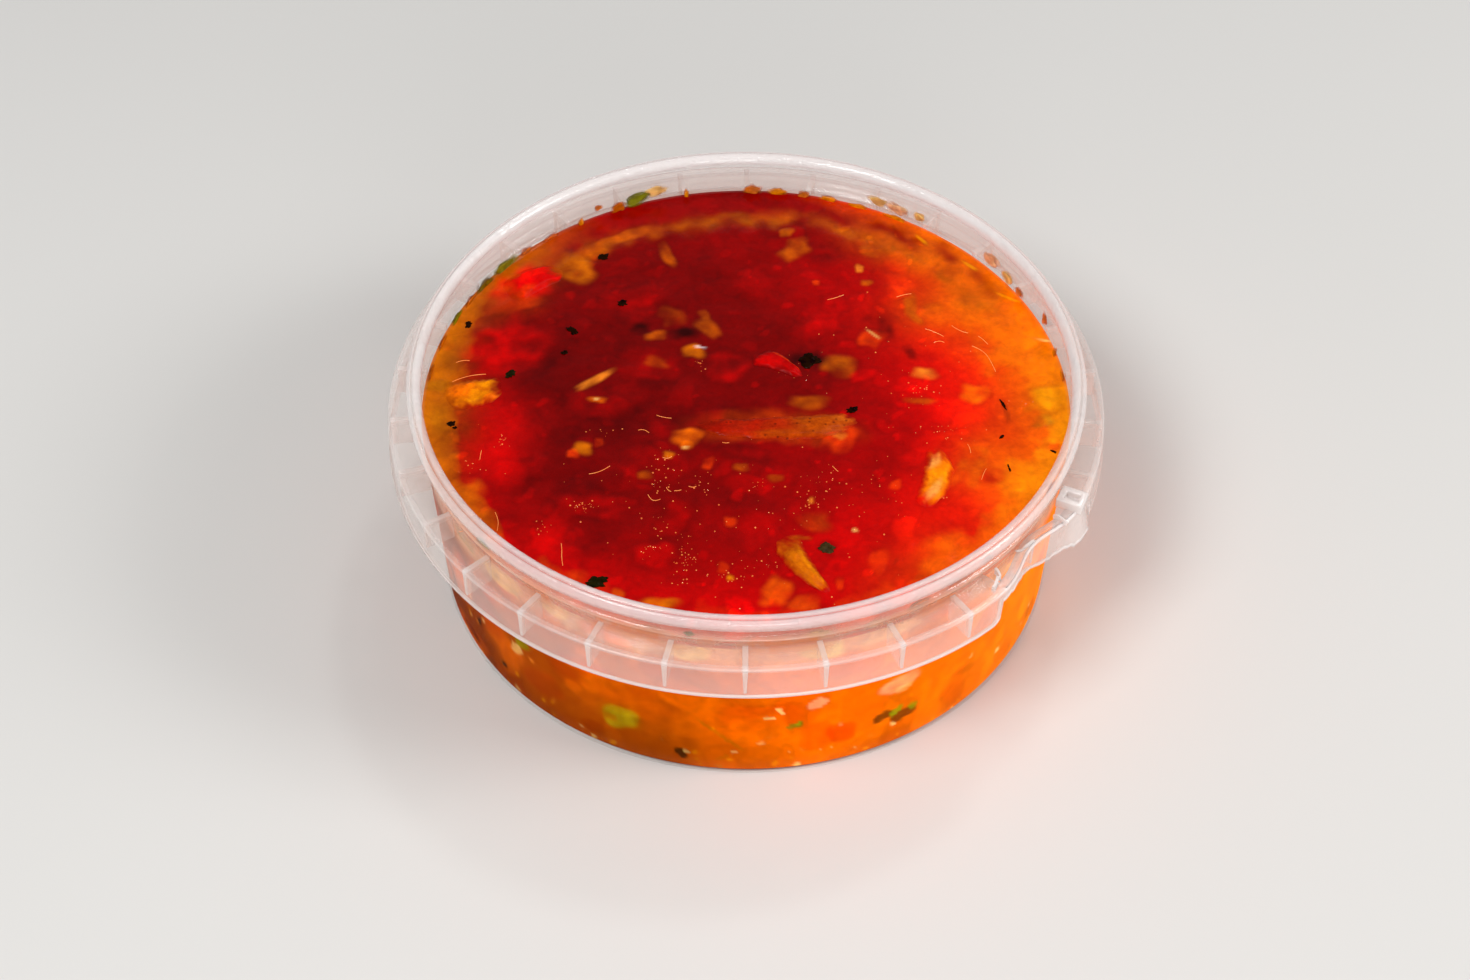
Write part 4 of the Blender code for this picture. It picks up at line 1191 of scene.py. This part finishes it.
# Large cut pieces in the surface. Each spot is u and v from -1 to 1, length, width, turn, shade, strength.
slabs = {
    "paleStrip": {
        "node": "pale_strip", "slot": "pale_pepper",
        "place": (4.9, -6.4), "size": (25.6, 6.4), "turn": 2.0, "taper": -0.35, "bend": 0.3,
        "shade": "rust", "wet": 0.16, "grain": 0.16, "speckle": 0.6, "fibre": 0.0, "slant": 1.6,
        "spots": (
            (-1.0, 0.0, 0.7, 2.2, 0, "red", 0.75),
            (-0.45, 0.1, 0.6, 1.8, 0, "mid", 0.5),
            (-0.1, 0.3, 0.5, 1.2, 0, "mid", 0.3),
            (0.65, 0.2, 0.8, 1.5, 0, "tan", 0.75),
            (0.2, -0.6, 0.9, 0.5, 0, "tan", 0.45),
            (0.9, 0.6, 0.3, 0.5, 0, "paleTan", 0.25),
        ),
    },
    "onionSlab": {
        "node": "onion_slab", "slot": "onion",
        "place": (30.6, -17.8), "size": (13.6, 5.2), "turn": 76.0, "taper": -0.15, "bend": 0.8,
        "shade": "orange", "wet": 0.60, "grain": 0.08, "speckle": 0.0, "fibre": 0.05, "slant": 0.7,
        "spots": (
            (0.0, 0.0, 1.8, 1.5, 0, "gold", 0.45),
            (0.55, 0.4, 0.5, 0.8, 20, "cream", 0.3),
            (-0.1, 0.2, 0.5, 0.8, 0, "gold", 0.4),
            (-0.5, 0.0, 0.5, 1.0, 40, "cream", 0.3),
            (0.15, -0.6, 0.9, 0.5, 0, "gold", 0.5),
        ),
    },
    "pepperSliver": {
        "node": "pepper_sliver", "slot": "green_pepper",
        "place": (9.2, -37.0), "size": (13.2, 5.4), "turn": -58.0, "taper": 0.55, "bend": 0.5,
        "shade": "yellow", "wet": 0.45, "grain": 0.10, "speckle": 0.1, "fibre": 0.08, "slant": 0.0,
        "spots": (
            (-0.85, 0.0, 0.5, 2.0, 0, "tan", 0.8),
            (0.1, 0.55, 1.3, 0.5, 0, "gold", 0.35),
            (-0.2, -0.6, 1.0, 0.5, 0, "tan", 0.6),
            (0.6, 0.1, 0.5, 1.0, 0, "amber", 0.5),
        ),
    },
    "yellowChunk": {
        "node": "yellow_chunk", "slot": "yellow_pepper",
        "place": (-45.4, 1.2), "size": (9.6, 7.6), "turn": 14.0, "taper": 0.2, "bend": 0.5,
        "shade": "yellow", "wet": 0.50, "grain": 0.12, "speckle": 0.0, "fibre": 0.15, "slant": 0.5,
        "spots": (
            (-0.5, 0.3, 0.8, 0.9, 0, "orange", 0.6),
            (0.5, 0.5, 0.7, 0.5, 20, "gold", 0.6),
            (0.1, -0.2, 0.5, 0.6, 50, "gold", 0.5),
            (0.6, -0.6, 0.6, 0.5, 0, "orange", 0.6),
            (0.0, -0.6, 0.6, 0.4, 0, "gold", 0.5),
        ),
    },
    "tomatoChunk": {
        "node": "tomato_chunk", "slot": "tomato",
        "place": (-37.3, 29.0), "size": (11.0, 7.0), "turn": 38.0, "taper": 0.25, "bend": -0.6,
        "shade": "bright", "wet": 0.45, "grain": 0.08, "speckle": 0.0, "fibre": 0.10, "slant": 0.0,
        "spots": (
            (0.2, 0.4, 1.2, 0.6, 0, "scarlet", 0.4),
            (-0.5, -0.5, 0.7, 0.6, 20, "orangeRed", 0.5),
            (-0.8, 0.2, 0.4, 1.2, 0, "rust", 0.4),
        ),
    },
    "redWedge": {
        "node": "red_wedge", "slot": "red_pepper",
        "place": (5.6, 8.5), "size": (9.2, 5.6), "turn": -34.0, "taper": 0.6, "bend": -0.5,
        "shade": "mid", "wet": 0.30, "grain": 0.08, "speckle": 0.0, "fibre": 0.1, "slant": 0.0,
        "spots": (
            (0.2, 0.72, 1.7, 0.2, 0, "orangeRed", 0.9),
            (-0.3, -0.2, 1.0, 1.2, 0, "bright", 0.5),
            (0.3, -0.6, 0.8, 0.5, 0, "red", 0.5),
        ),
    },
}

slab = {
    "thickness": 2.4,
    "rise": 0.55,
    "cuts": 30,
    "rounding": (0.42, 0.12),
    "unevenScale": 2.6,
    "tornScale": 0.8,
    "domeWidth": 0.45,
    "edgeRise": 0.03,
    "edgeDrop": 0.15,
    "grainScale": 1100.0,
    "fibreScale": 420.0,
    "speckleScale": 780.0,
    "speckleColour": (70, 10, 0),
    "bump": (0.15, 0.0003),
}


def slabFinish(name, values):
    finish = Finish(name)
    base = finish.attribute("paint")
    grain = finish.noise(slab["grainScale"], 3.0, 0.65)
    fibre = finish.noise(slab["fibreScale"], 2.0, 0.5, 3.0)
    speckle = finish.ranged(finish.cells(slab["speckleScale"]), 0.10, 0.24)
    depth = values["grain"]
    shaded = finish.tinted(base, 1 - depth, 1 - depth * 1.5, 1 - depth)
    lit = finish.tinted(base, 1 + depth, 1 + depth * 1.5, 1 + depth)
    colour = finish.mixed(finish.ranged(grain, 0.35, 0.65), shaded, lit)
    streak = finish.ranged(fibre, 0.52, 0.66, 0.0, values["fibre"])
    colour = finish.mixed(streak, colour, finish.tinted(colour, 1.3, 1.6, 1.8))
    dot = finish.ranged(speckle, 0.0, 1.0, values["speckle"], 0.0)
    colour = finish.mixed(dot, colour, solid(*slab["speckleColour"]))
    finish.set(Base_Color=colour, Roughness=grain * 0.12 + 0.28, IOR=wet["ior"], Specular_IOR_Level=0.1)
    return finish.bump(grain * 0.5 + fibre, *slab["bump"])


def makeSlab(name, values):
    made = makeBox(name, (2, 2, 2), slab["cuts"])
    u, v, w = meshPlaces(made).T
    ownNoise = len(values["node"]) * 1.7
    halfLength, halfWidth = values["size"][0] / 2, values["size"][1] / 2
    uneven = noiseField(u * halfLength, v * halfWidth, slab["unevenScale"], ownNoise)
    torn = noiseField(u * halfLength, v * halfWidth, slab["tornScale"], ownNoise)
    taper = values["taper"]
    narrow = 1 - abs(taper) * (0.5 + 0.5 * math.copysign(1, taper) * u)
    ragged = 1 + 0.10 * uneven + 0.03 * torn
    roundLong, roundWide = slab["rounding"]
    along = u * halfLength * np.sqrt(1 - roundLong * v * v) * ragged + values["slant"] * v * (u + 1) / 2
    across = v * halfWidth * (1 - roundWide * u * u) * narrow * ragged + values["bend"] * (u * u - 0.5)
    x, y = turned(along, across, values["turn"])
    x, y = values["place"][0] + x, values["place"][1] + y
    sauce, level = saucePaint(x, y)
    # the top bulges out of the sauce and its edge dips under it
    inward = 1 - np.maximum(np.abs(u), np.abs(v))
    dome = smoothStep(inward, 0.0, slab["domeWidth"])
    top = level + slab["edgeRise"] + (slab["rise"] - slab["edgeDrop"]) * dome + 0.06 * torn * dome
    bottom = salsa["level"] + slab["rise"] - slab["thickness"]
    setPlaces(made, np.column_stack([x, y, bottom + (top - bottom) * (w + 1) / 2]))
    bpy.ops.object.shade_smooth_by_angle(angle=math.radians(55))
    colour = np.tile(tone(values["shade"]), (len(u), 1))
    for spotU, spotV, length, width, turn, shade, strength in values["spots"]:
        share = patchMask(u, v, (spotU, spotV, length, width, turn), 0.9)[:, None] * strength
        colour = blend(colour, tone(shade), share)
    colour *= (1 + 0.3 * uneven + 0.22 * torn)[:, None]
    own = smoothStep(inward + 0.12 * torn + 0.10 * uneven, 0.0, values["wet"])[:, None]
    paint(made, blend(sauce, colour, own))
    return dress(made, slabFinish(name + "Skin", values), values["slot"], values["node"])


# Dark bits of herb and pepper skin in the surface: x, y, length, width, turn, shade
flakes = (
    (-25.5, 35.6, 1.8, 1.4, 0, "black"),
    (-21.6, 23.5, 1.6, 1.4, 30, "black"),
    (-29.8, 16.4, 2.2, 1.3, -50, "black"),
    (-30.9, 11.1, 1.1, 0.8, 20, "black"),
    (-39.6, 5.8, 1.9, 1.4, 60, "leaf"),
    (-48.6, -6.2, 1.3, 1.1, 0, "black"),
    (-47.7, 17.8, 1.6, 0.9, 80, "black"),
    (10.6, 9.4, 3.3, 2.9, 50, "black"),
    (12.9, -33.1, 2.3, 2.0, -30, "herb"),
    (-23.0, -40.5, 3.3, 2.0, 10, "leaf"),
    (17.6, -2.3, 1.8, 1.2, 30, "black"),
    (42.7, -0.6, 2.4, 0.4, -70, "black"),
    (42.0, -8.3, 1.1, 0.4, 40, "black"),
    (42.7, -15.3, 1.5, 0.25, -80, "black"),
    (50.2, -11.6, 1.0, 0.4, -40, "black"),
    (-47.9, -7.1, 0.7, 0.5, 0, "black"),
)
flake = {
    "curl": 0.10,
    "thickness": 0.10,
    "lift": 0.02,
    "ragged": (0.5, 0.6),
    "rounding": 0.35,
    "grainScale": 1500.0,
    "veinScale": 900.0,
    "veinColour": (52, 30, 0),
}


def herbFinish():
    finish = Finish("darkHerb")
    base = finish.attribute("paint")
    grain = finish.noise(flake["grainScale"], 3.0, 0.6)
    vein = finish.ranged(finish.cells(flake["veinScale"], 'F2'), 0.5, 0.8)
    darker = finish.tinted(base, 0.4, 0.35, 0.3)
    skin = finish.mixed(finish.ranged(grain, 0.35, 0.65), darker, base)
    finish.set(Base_Color=finish.mixed(vein * 0.2, skin, solid(*flake["veinColour"])))
    finish.set(Roughness=grain * 0.3 + 0.1, IOR=wet["ior"], Specular_IOR_Level=0.05)
    return finish.bump(grain, 0.4, 0.0002)


def makeFlakes():
    made = []
    raggedLong, raggedWide = flake["ragged"]
    for x, y, length, width, turn, shade in flakes:
        piece = makeBox("flake", (2, 2, 2), 7)
        u, v, w = meshPlaces(piece).T
        torn = np.array([noise.noise(Vector((a * 1.8 + x, b * 1.8 + y, 0))) for a, b in zip(u, v)])
        along = u * length / 2 * (1 + raggedLong * torn) * np.sqrt(1 - flake["rounding"] * v * v)
        across = v * width / 2 * (1 + raggedWide * torn) * np.sqrt(1 - flake["rounding"] * u * u)
        placeX, placeY = turned(along, across, turn)
        level = saucePaint(np.array([x]), np.array([y]))[1][0]
        curl = flake["curl"] * u * v + 0.08 * torn
        thick = flake["thickness"] * w * (1 - 0.6 * u * u * v * v)
        setPlaces(piece, np.column_stack([x + placeX, y + placeY, level + flake["lift"] + curl + thick]))
        paint(piece, np.tile(tone(shade), (len(u), 1)))
        bpy.ops.object.shade_smooth()
        made.append(piece)
    return dress(joined(made, "herbFlakes"), herbFinish(), "green_pepper", "salsa")


# Pale fibres that float on the sauce, each a line of (x, y) points
threads = (
    ((-49.0, 8.4), (-48.0, 9.1), (-46.8, 8.9)),
    ((-40.3, 29.4), (-41.3, 27.8), (-40.9, 25.8)),
    ((-39.7, 28.3), (-40.4, 26.5), (-40.1, 24.9)),
    ((-49.3, 3.7), (-47.0, 5.4), (-43.8, 5.7)),
    ((-47.9, -2.4), (-47.8, -0.6), (-47.2, 0.7)),
    ((-14.8, -3.7), (-13.8, -4.3), (-12.3, -4.4)),
    ((14.0, 24.8), (15.4, 25.2), (16.8, 26.1)),
    ((26.0, 25.5), (27.3, 26.3), (28.6, 26.5)),
    ((30.6, 17.5), (32.0, 17.0), (33.7, 15.7)),
    ((31.9, 14.1), (32.9, 14.9), (33.7, 14.2)),
    ((39.6, 15.8), (40.4, 15.1), (41.1, 13.8)),
    ((38.4, 13.3), (40.1, 12.3), (41.3, 9.8), (42.0, 7.1)),
    ((35.2, 18.4), (36.7, 16.8), (37.9, 16.6)),
    ((-25.3, -17.3), (-23.5, -17.1), (-22.0, -15.6)),
    ((-15.6, -21.8), (-15.2, -22.8), (-14.3, -23.2), (-13.6, -22.8)),
    ((-12.7, -20.2), (-12.5, -20.9), (-11.9, -21.2)),
    ((-11.4, -21.0), (-10.9, -21.1), (-10.3, -20.8)),
    ((-9.1, -19.9), (-8.6, -20.3), (-7.9, -19.9)),
    ((14.1, -15.2), (14.6, -16.0), (15.0, -16.5)),
    ((-17.7, -7.3), (-16.8, -6.8), (-15.9, -7.9)),
    ((-3.8, -10.1), (-3.2, -10.3), (-2.7, -10.1)),
    ((-13.5, -13.6), (-12.7, -14.1), (-12.0, -13.4)),
    ((38.1, -18.1), (38.4, -16.8), (39.0, -15.6)),
    ((36.3, -10.0), (36.7, -10.9), (36.7, -12.0)),
    ((-43.1, -12.2), (-43.2, -13.4), (-43.2, -14.2)),
    ((-39.8, -26.0), (-39.2, -27.5), (-39.1, -29.0), (-39.2, -30.0)),
    ((-28.9, -32.5), (-28.7, -34.0), (-28.7, -35.4), (-28.4, -37.2)),
    ((-45.2, -30.3), (-44.7, -30.5), (-44.4, -30.1)),
)
thread = {"radius": 0.05, "lift": 0.02, "glow": 0.18, "deep": (236, 92, 20), "pale": (255, 180, 100)}


def threadFinish():
    finish = Finish("paleFibre")
    grain = finish.noise(700.0, 2.0)
    # the fibres' colour also glows: painted light that makes them brighter
    finish.glowing(finish.mixed(grain, solid(*thread["deep"]), solid(*thread["pale"])), thread["glow"])
    return finish.set(Roughness=grain * 0.2 + 0.1, IOR=1.4)


def makeThreads():
    made = []
    for line in threads:
        curve = bpy.data.curves.new("thread", 'CURVE')
        curve.dimensions = '3D'
        curve.bevel_depth = thread["radius"] * mm
        curve.bevel_resolution = 2
        curve.use_fill_caps = True
        path = curve.splines.new('NURBS')
        path.points.add(len(line) - 1)
        heights = saucePaint(*np.array(line).T)[1]
        for point, (x, y), height in zip(path.points, line, heights):
            point.co = (x * mm, y * mm, (height + thread["lift"]) * mm, 1)
        path.order_u = 3
        path.use_endpoint_u = True
        path.resolution_u = 6
        fibre = bpy.data.objects.new("thread", curve)
        bpy.context.collection.objects.link(fibre)
        made.append(fibre)
    deselectAll()
    for fibre in made:
        fibre.select_set(True)
    bpy.context.view_layer.objects.active = made[0]
    bpy.ops.object.convert(target='MESH')
    made = joined(list(bpy.context.selected_objects), "paleThreads")
    bpy.ops.object.shade_smooth()
    return dress(made, threadFinish(), "salsa", "salsa")


# Clusters of tiny bubbles: x, y, spread in x and y, count
bubbleClusters = (
    (-9.5, -35.7, 1.5, 3.6, 45),
    (-14.6, -33.4, 1.8, 1.2, 14),
    (-25.9, -24.5, 2.1, 1.2, 16),
    (-12.7, -16.7, 3.1, 3.8, 34),
    (-7.1, -19.2, 1.8, 2.5, 12),
    (1.9, -19.6, 1.5, 1.3, 8),
    (12.7, -18.2, 1.9, 2.5, 10),
    (10.1, -23.3, 0.9, 1.3, 6),
    (-1.9, -39.2, 3.0, 1.2, 16),
    (-13.5, -29.3, 1.2, 2.4, 12),
    (4.0, -36.4, 4.5, 2.4, 20),
    (-32.2, -29.3, 1.9, 1.5, 10),
    (-26.1, -24.4, 1.6, 1.1, 14),
    (31.8, -21.7, 0.9, 0.8, 8),
    (7.5, 5.5, 2.1, 1.0, 8),
    (46.4, -0.7, 2.0, 1.0, 8),
    (29.6, 2.8, 3.1, 1.9, 14),
    (31.8, -7.7, 5.0, 2.8, 22),
    (-7.6, 8.3, 1.0, 2.0, 10),
    (-39.9, -9.9, 1.4, 1.2, 12),
    (-44.2, -15.4, 2.2, 3.1, 10),
    (-23.3, -7.5, 1.9, 0.9, 8),
    (22.0, -19.9, 6.2, 5.0, 22),
    (11.6, -20.0, 3.1, 4.2, 14),
    (-2.0, -28.0, 26.0, 14.0, 110),
    (24.0, 4.0, 18.0, 22.0, 50),
)
bubble = {
    "smallest": 0.05,
    "largest": 0.17,
    "flatness": 0.7,
    "seed": 5,
    "reach": 51,
    "glow": 0.3,
    "deep": (240, 66, 10),
    "pale": (255, 176, 90),
}


def bubbleFinish():
    finish = Finish("bubbleFilm")
    grain = finish.noise(400.0, 2.0)
    # pale colours that also glow: painted glints on the bubbles
    finish.glowing(finish.mixed(grain, solid(*bubble["deep"]), solid(*bubble["pale"])), bubble["glow"])
    return finish.set(Roughness=grain * 0.08 + 0.03, IOR=1.4, Alpha=grain * 0.5 + 0.35, Coat_Weight=0.8)


def makeBubbles():
    rng = random.Random(bubble["seed"])
    deselectAll()
    bpy.ops.mesh.primitive_uv_sphere_add(segments=10, ring_count=6, radius=mm, location=(0, 0, 0))
    dome = bpy.context.object
    places = []
    for x, y, spreadX, spreadY, count in bubbleClusters:
        for index in range(count):
            place = (x + rng.gauss(0, spreadX * 0.6), y + rng.gauss(0, spreadY * 0.6))
            if math.hypot(*place) < bubble["reach"]:
                places.append(place)
    heights = saucePaint(*np.array(places).T)[1]
    made = []
    for (x, y), height in zip(places, heights):
        size = bubble["smallest"] + (bubble["largest"] - bubble["smallest"]) * rng.random() ** 2
        move = Matrix.Translation(Vector((x, y, height + size * 0.1)) * mm)
        made.append(copied(dome, move @ Matrix.Diagonal((size, size, size * bubble["flatness"], 1))))
    bpy.data.objects.remove(dome)
    made = joined(made, "salsaBubbles")
    bpy.ops.object.shade_smooth()
    return dress(made, bubbleFinish(), "salsa", "salsa")


# Salsa left on the inner wall: angle, height, width, tallness, shade
residue = (
    (-158, 34.6, 5.0, 3.2, "green"),
    (-154, 33.9, 3.0, 2.4, "yellow"),
    (-162, 35.4, 4.4, 2.6, "cream"),
    (-155, 33.0, 1.0, 2.2, "yellow"),
    (-146, 33.2, 1.2, 2.6, "gold"),
    (-168, 33.6, 1.0, 2.4, "gold"),
    (179, 33.6, 3.6, 2.6, "paleTan"),
    (174, 33.5, 3.4, 2.2, "gold"),
    (169, 33.4, 2.6, 1.8, "paleTan"),
    (164, 33.3, 3.4, 1.4, "gold"),
    (158, 33.2, 4.0, 1.3, "gold"),
    (150, 33.2, 4.6, 1.4, "gold"),
    (-150, 35.2, 1.8, 1.2, "paleTan"),
    (154, 35.6, 4.0, 2.2, "cream"),
    (150, 35.4, 4.6, 2.6, "peach"),
    (145, 35.6, 2.6, 2.0, "cream"),
    (127, 35.8, 4.4, 3.0, "peach"),
    (122, 35.0, 3.6, 2.6, "cream"),
    (118, 34.6, 2.4, 1.8, "paleTan"),
    (108, 36.2, 1.8, 3.0, "paleTan"),
    (102, 33.6, 1.2, 2.6, "gold"),
    (-127, 33.6, 6.4, 2.8, "green"),
    (-121, 33.3, 5.4, 2.4, "olive"),
    (-116, 33.2, 4.2, 1.8, "yellow"),
    (-111, 33.3, 4.0, 1.6, "green"),
    (-104, 33.2, 4.2, 1.6, "yellow"),
    (-96, 33.2, 4.8, 1.4, "yellow"),
    (-139, 33.2, 3.6, 1.4, "amber"),
    (-133, 33.4, 3.0, 1.6, "yellow"),
    (96, 33.4, 3.2, 1.4, "gold"),
    (-50, 34.4, 3.6, 2.2, "green"),
    (-9, 35.0, 1.8, 1.2, "olive"),
    (-16, 34.4, 6.0, 1.8, "paleTan"),
    (12, 34.6, 5.0, 2.0, "cream"),
    (30, 34.6, 4.6, 2.2, "paleTan"),
    (38, 35.0, 5.6, 2.4, "orange"),
    (22, 34.0, 3.6, 1.6, "peach"),
    (45, 35.8, 3.0, 1.6, "amber"),
    (66, 35.0, 3.6, 2.0, "amber"),
)
splash = {"radius": 53.0, "thickness": 0.22, "lumps": 0.55, "grainScale": 900.0}


def residueFinish():
    finish = Finish("salsaOnWall")
    base = finish.attribute("paint")
    grain = finish.noise(splash["grainScale"], 3.0, 0.6)
    darker = finish.tinted(base, 0.7, 0.65, 0.6)
    finish.set(Base_Color=finish.mixed(finish.ranged(grain, 0.4, 0.62), darker, base))
    finish.set(Roughness=grain * 0.1 + 0.06, IOR=1.38, Specular_IOR_Level=0.6)
    # thin and clear towards its rim
    rim = finish.attribute("thin", 2)
    finish.set(Alpha=finish.ranged(rim + grain * 0.5, 0.5, 1.1, 0.9, 0.0))
    return finish.bump(grain, 0.4, 0.0003)


def makeResidue():
    made = []
    for index, (angle, height, width, tall, shade) in enumerate(residue):
        deselectAll()
        bpy.ops.mesh.primitive_uv_sphere_add(segments=24, ring_count=14, radius=mm, location=(0, 0, 0))
        blob = bpy.context.object
        places = meshPlaces(blob)
        lumps = np.array([noise.noise(Vector(point * 1.3) + Vector((index * 7, 0, 0))) for point in places])
        rim = 1 - np.abs(places[:, 1]) ** 1.5
        places *= (1 + splash["lumps"] * lumps)[:, None]
        radius = wallRadius(min(height, tub["wallTopHeight"])) - tub["wallThickness"] - 0.05
        radius += splash["thickness"] * places[:, 1]
        around = math.radians(angle) + places[:, 0] * width / 2 / splash["radius"]
        x = radius * np.sin(around)
        y = -radius * np.cos(around)
        setPlaces(blob, np.column_stack([x, y, height + places[:, 2] * tall / 2]))
        bpy.ops.object.shade_smooth()
        paint(blob, tone(shade) * (1 + 0.5 * lumps)[:, None])
        paintShare(blob, "thin", rim)
        made.append(blob)
    made = joined(made, "wallResidue")
    # laying the blobs on the wall turns them inside out
    bpy.ops.object.mode_set(mode='EDIT')
    facesOutwards()
    return dress(made, residueFinish(), "salsa", "salsa")


# Size and height in metres
ground = {"size": 6, "height": -0.0001, "dark": (206, 204, 200), "pale": (214, 212, 209)}


def makeFloor():
    deselectAll()
    bpy.ops.mesh.primitive_plane_add(size=ground["size"], location=(0, 0, ground["height"]))
    floor = bpy.context.object
    floor.name = "floor"
    finish = Finish("paleFloor")
    cloud = finish.noise(3.0, 3.0, 0.5)
    finish.set(Base_Color=finish.mixed(cloud, solid(*ground["dark"]), solid(*ground["pale"])), Roughness=0.8)
    floor.data.materials.append(finish.material)


# Name, place in metres, size in metres and power in watts
lights = (
    ("keySoftbox", (-0.45, -0.45, 0.85), 0.34, 7.2),
    ("fillSoftbox", (0.85, -0.15, 0.55), 0.36, 5.6),
    ("backSoftbox", (0.30, 0.62, 1.15), 0.16, 2.0),
    ("frontSoftbox", (0.12, -0.95, 0.30), 0.34, 2.1),
)

studio = {"skyColour": (0.95, 0.97, 1.0, 1), "skyPower": 0.24, "clearBounces": 24}

camera = {
    "focalPixels": 2429.0,
    "imageWidth": 1470.0,
    "pitch": 46.74,
    "pan": -0.42,
    "roll": 0.10,
    "place": (0.3, -288.1, 317.0),
}


def makeStudio():
    scene = bpy.context.scene
    world = bpy.data.worlds.new("studio")
    world.use_nodes = True
    sky = world.node_tree.nodes["Background"]
    sky.inputs["Color"].default_value = studio["skyColour"]
    sky.inputs["Strength"].default_value = studio["skyPower"]
    scene.world = world
    for name, place, size, power in lights:
        light = bpy.data.lights.new(name, 'AREA')
        light.size = size
        light.energy = power
        lamp = bpy.data.objects.new(name, light)
        lamp.location = place
        lamp.rotation_euler = (-Vector(place)).to_track_quat('-Z', 'Y').to_euler()
        scene.collection.objects.link(lamp)
    scene.view_settings.view_transform = 'Standard'
    scene.view_settings.look = 'None'
    scene.cycles.transparent_max_bounces = studio["clearBounces"]
    lens = bpy.data.cameras.new("camera")
    lens.sensor_width = 36
    lens.lens = camera["focalPixels"] / camera["imageWidth"] * lens.sensor_width
    lens.clip_start = 0.01
    eye = bpy.data.objects.new("camera", lens)
    turn = Matrix.Rotation(math.radians(-camera["pan"]), 4, 'Z')
    tilt = Matrix.Rotation(math.radians(90 - camera["pitch"]), 4, 'X')
    roll = Matrix.Rotation(math.radians(camera["roll"]), 4, 'Z')
    eye.matrix_world = Matrix.Translation(Vector(camera["place"]) * mm) @ turn @ tilt @ roll
    scene.collection.objects.link(eye)
    scene.camera = eye


makeCup()
makeRing()
makeRibs()
makeBuckle()
print("tub made")
makeSurface()
makeBody()
print("salsa made")
for slabName, slabValues in slabs.items():
    makeSlab(slabName, slabValues)
print("large pieces made")
makeFlakes()
makeThreads()
makeBubbles()
makeResidue()
print("small things made")
makeFloor()
makeStudio()
print("studio set")
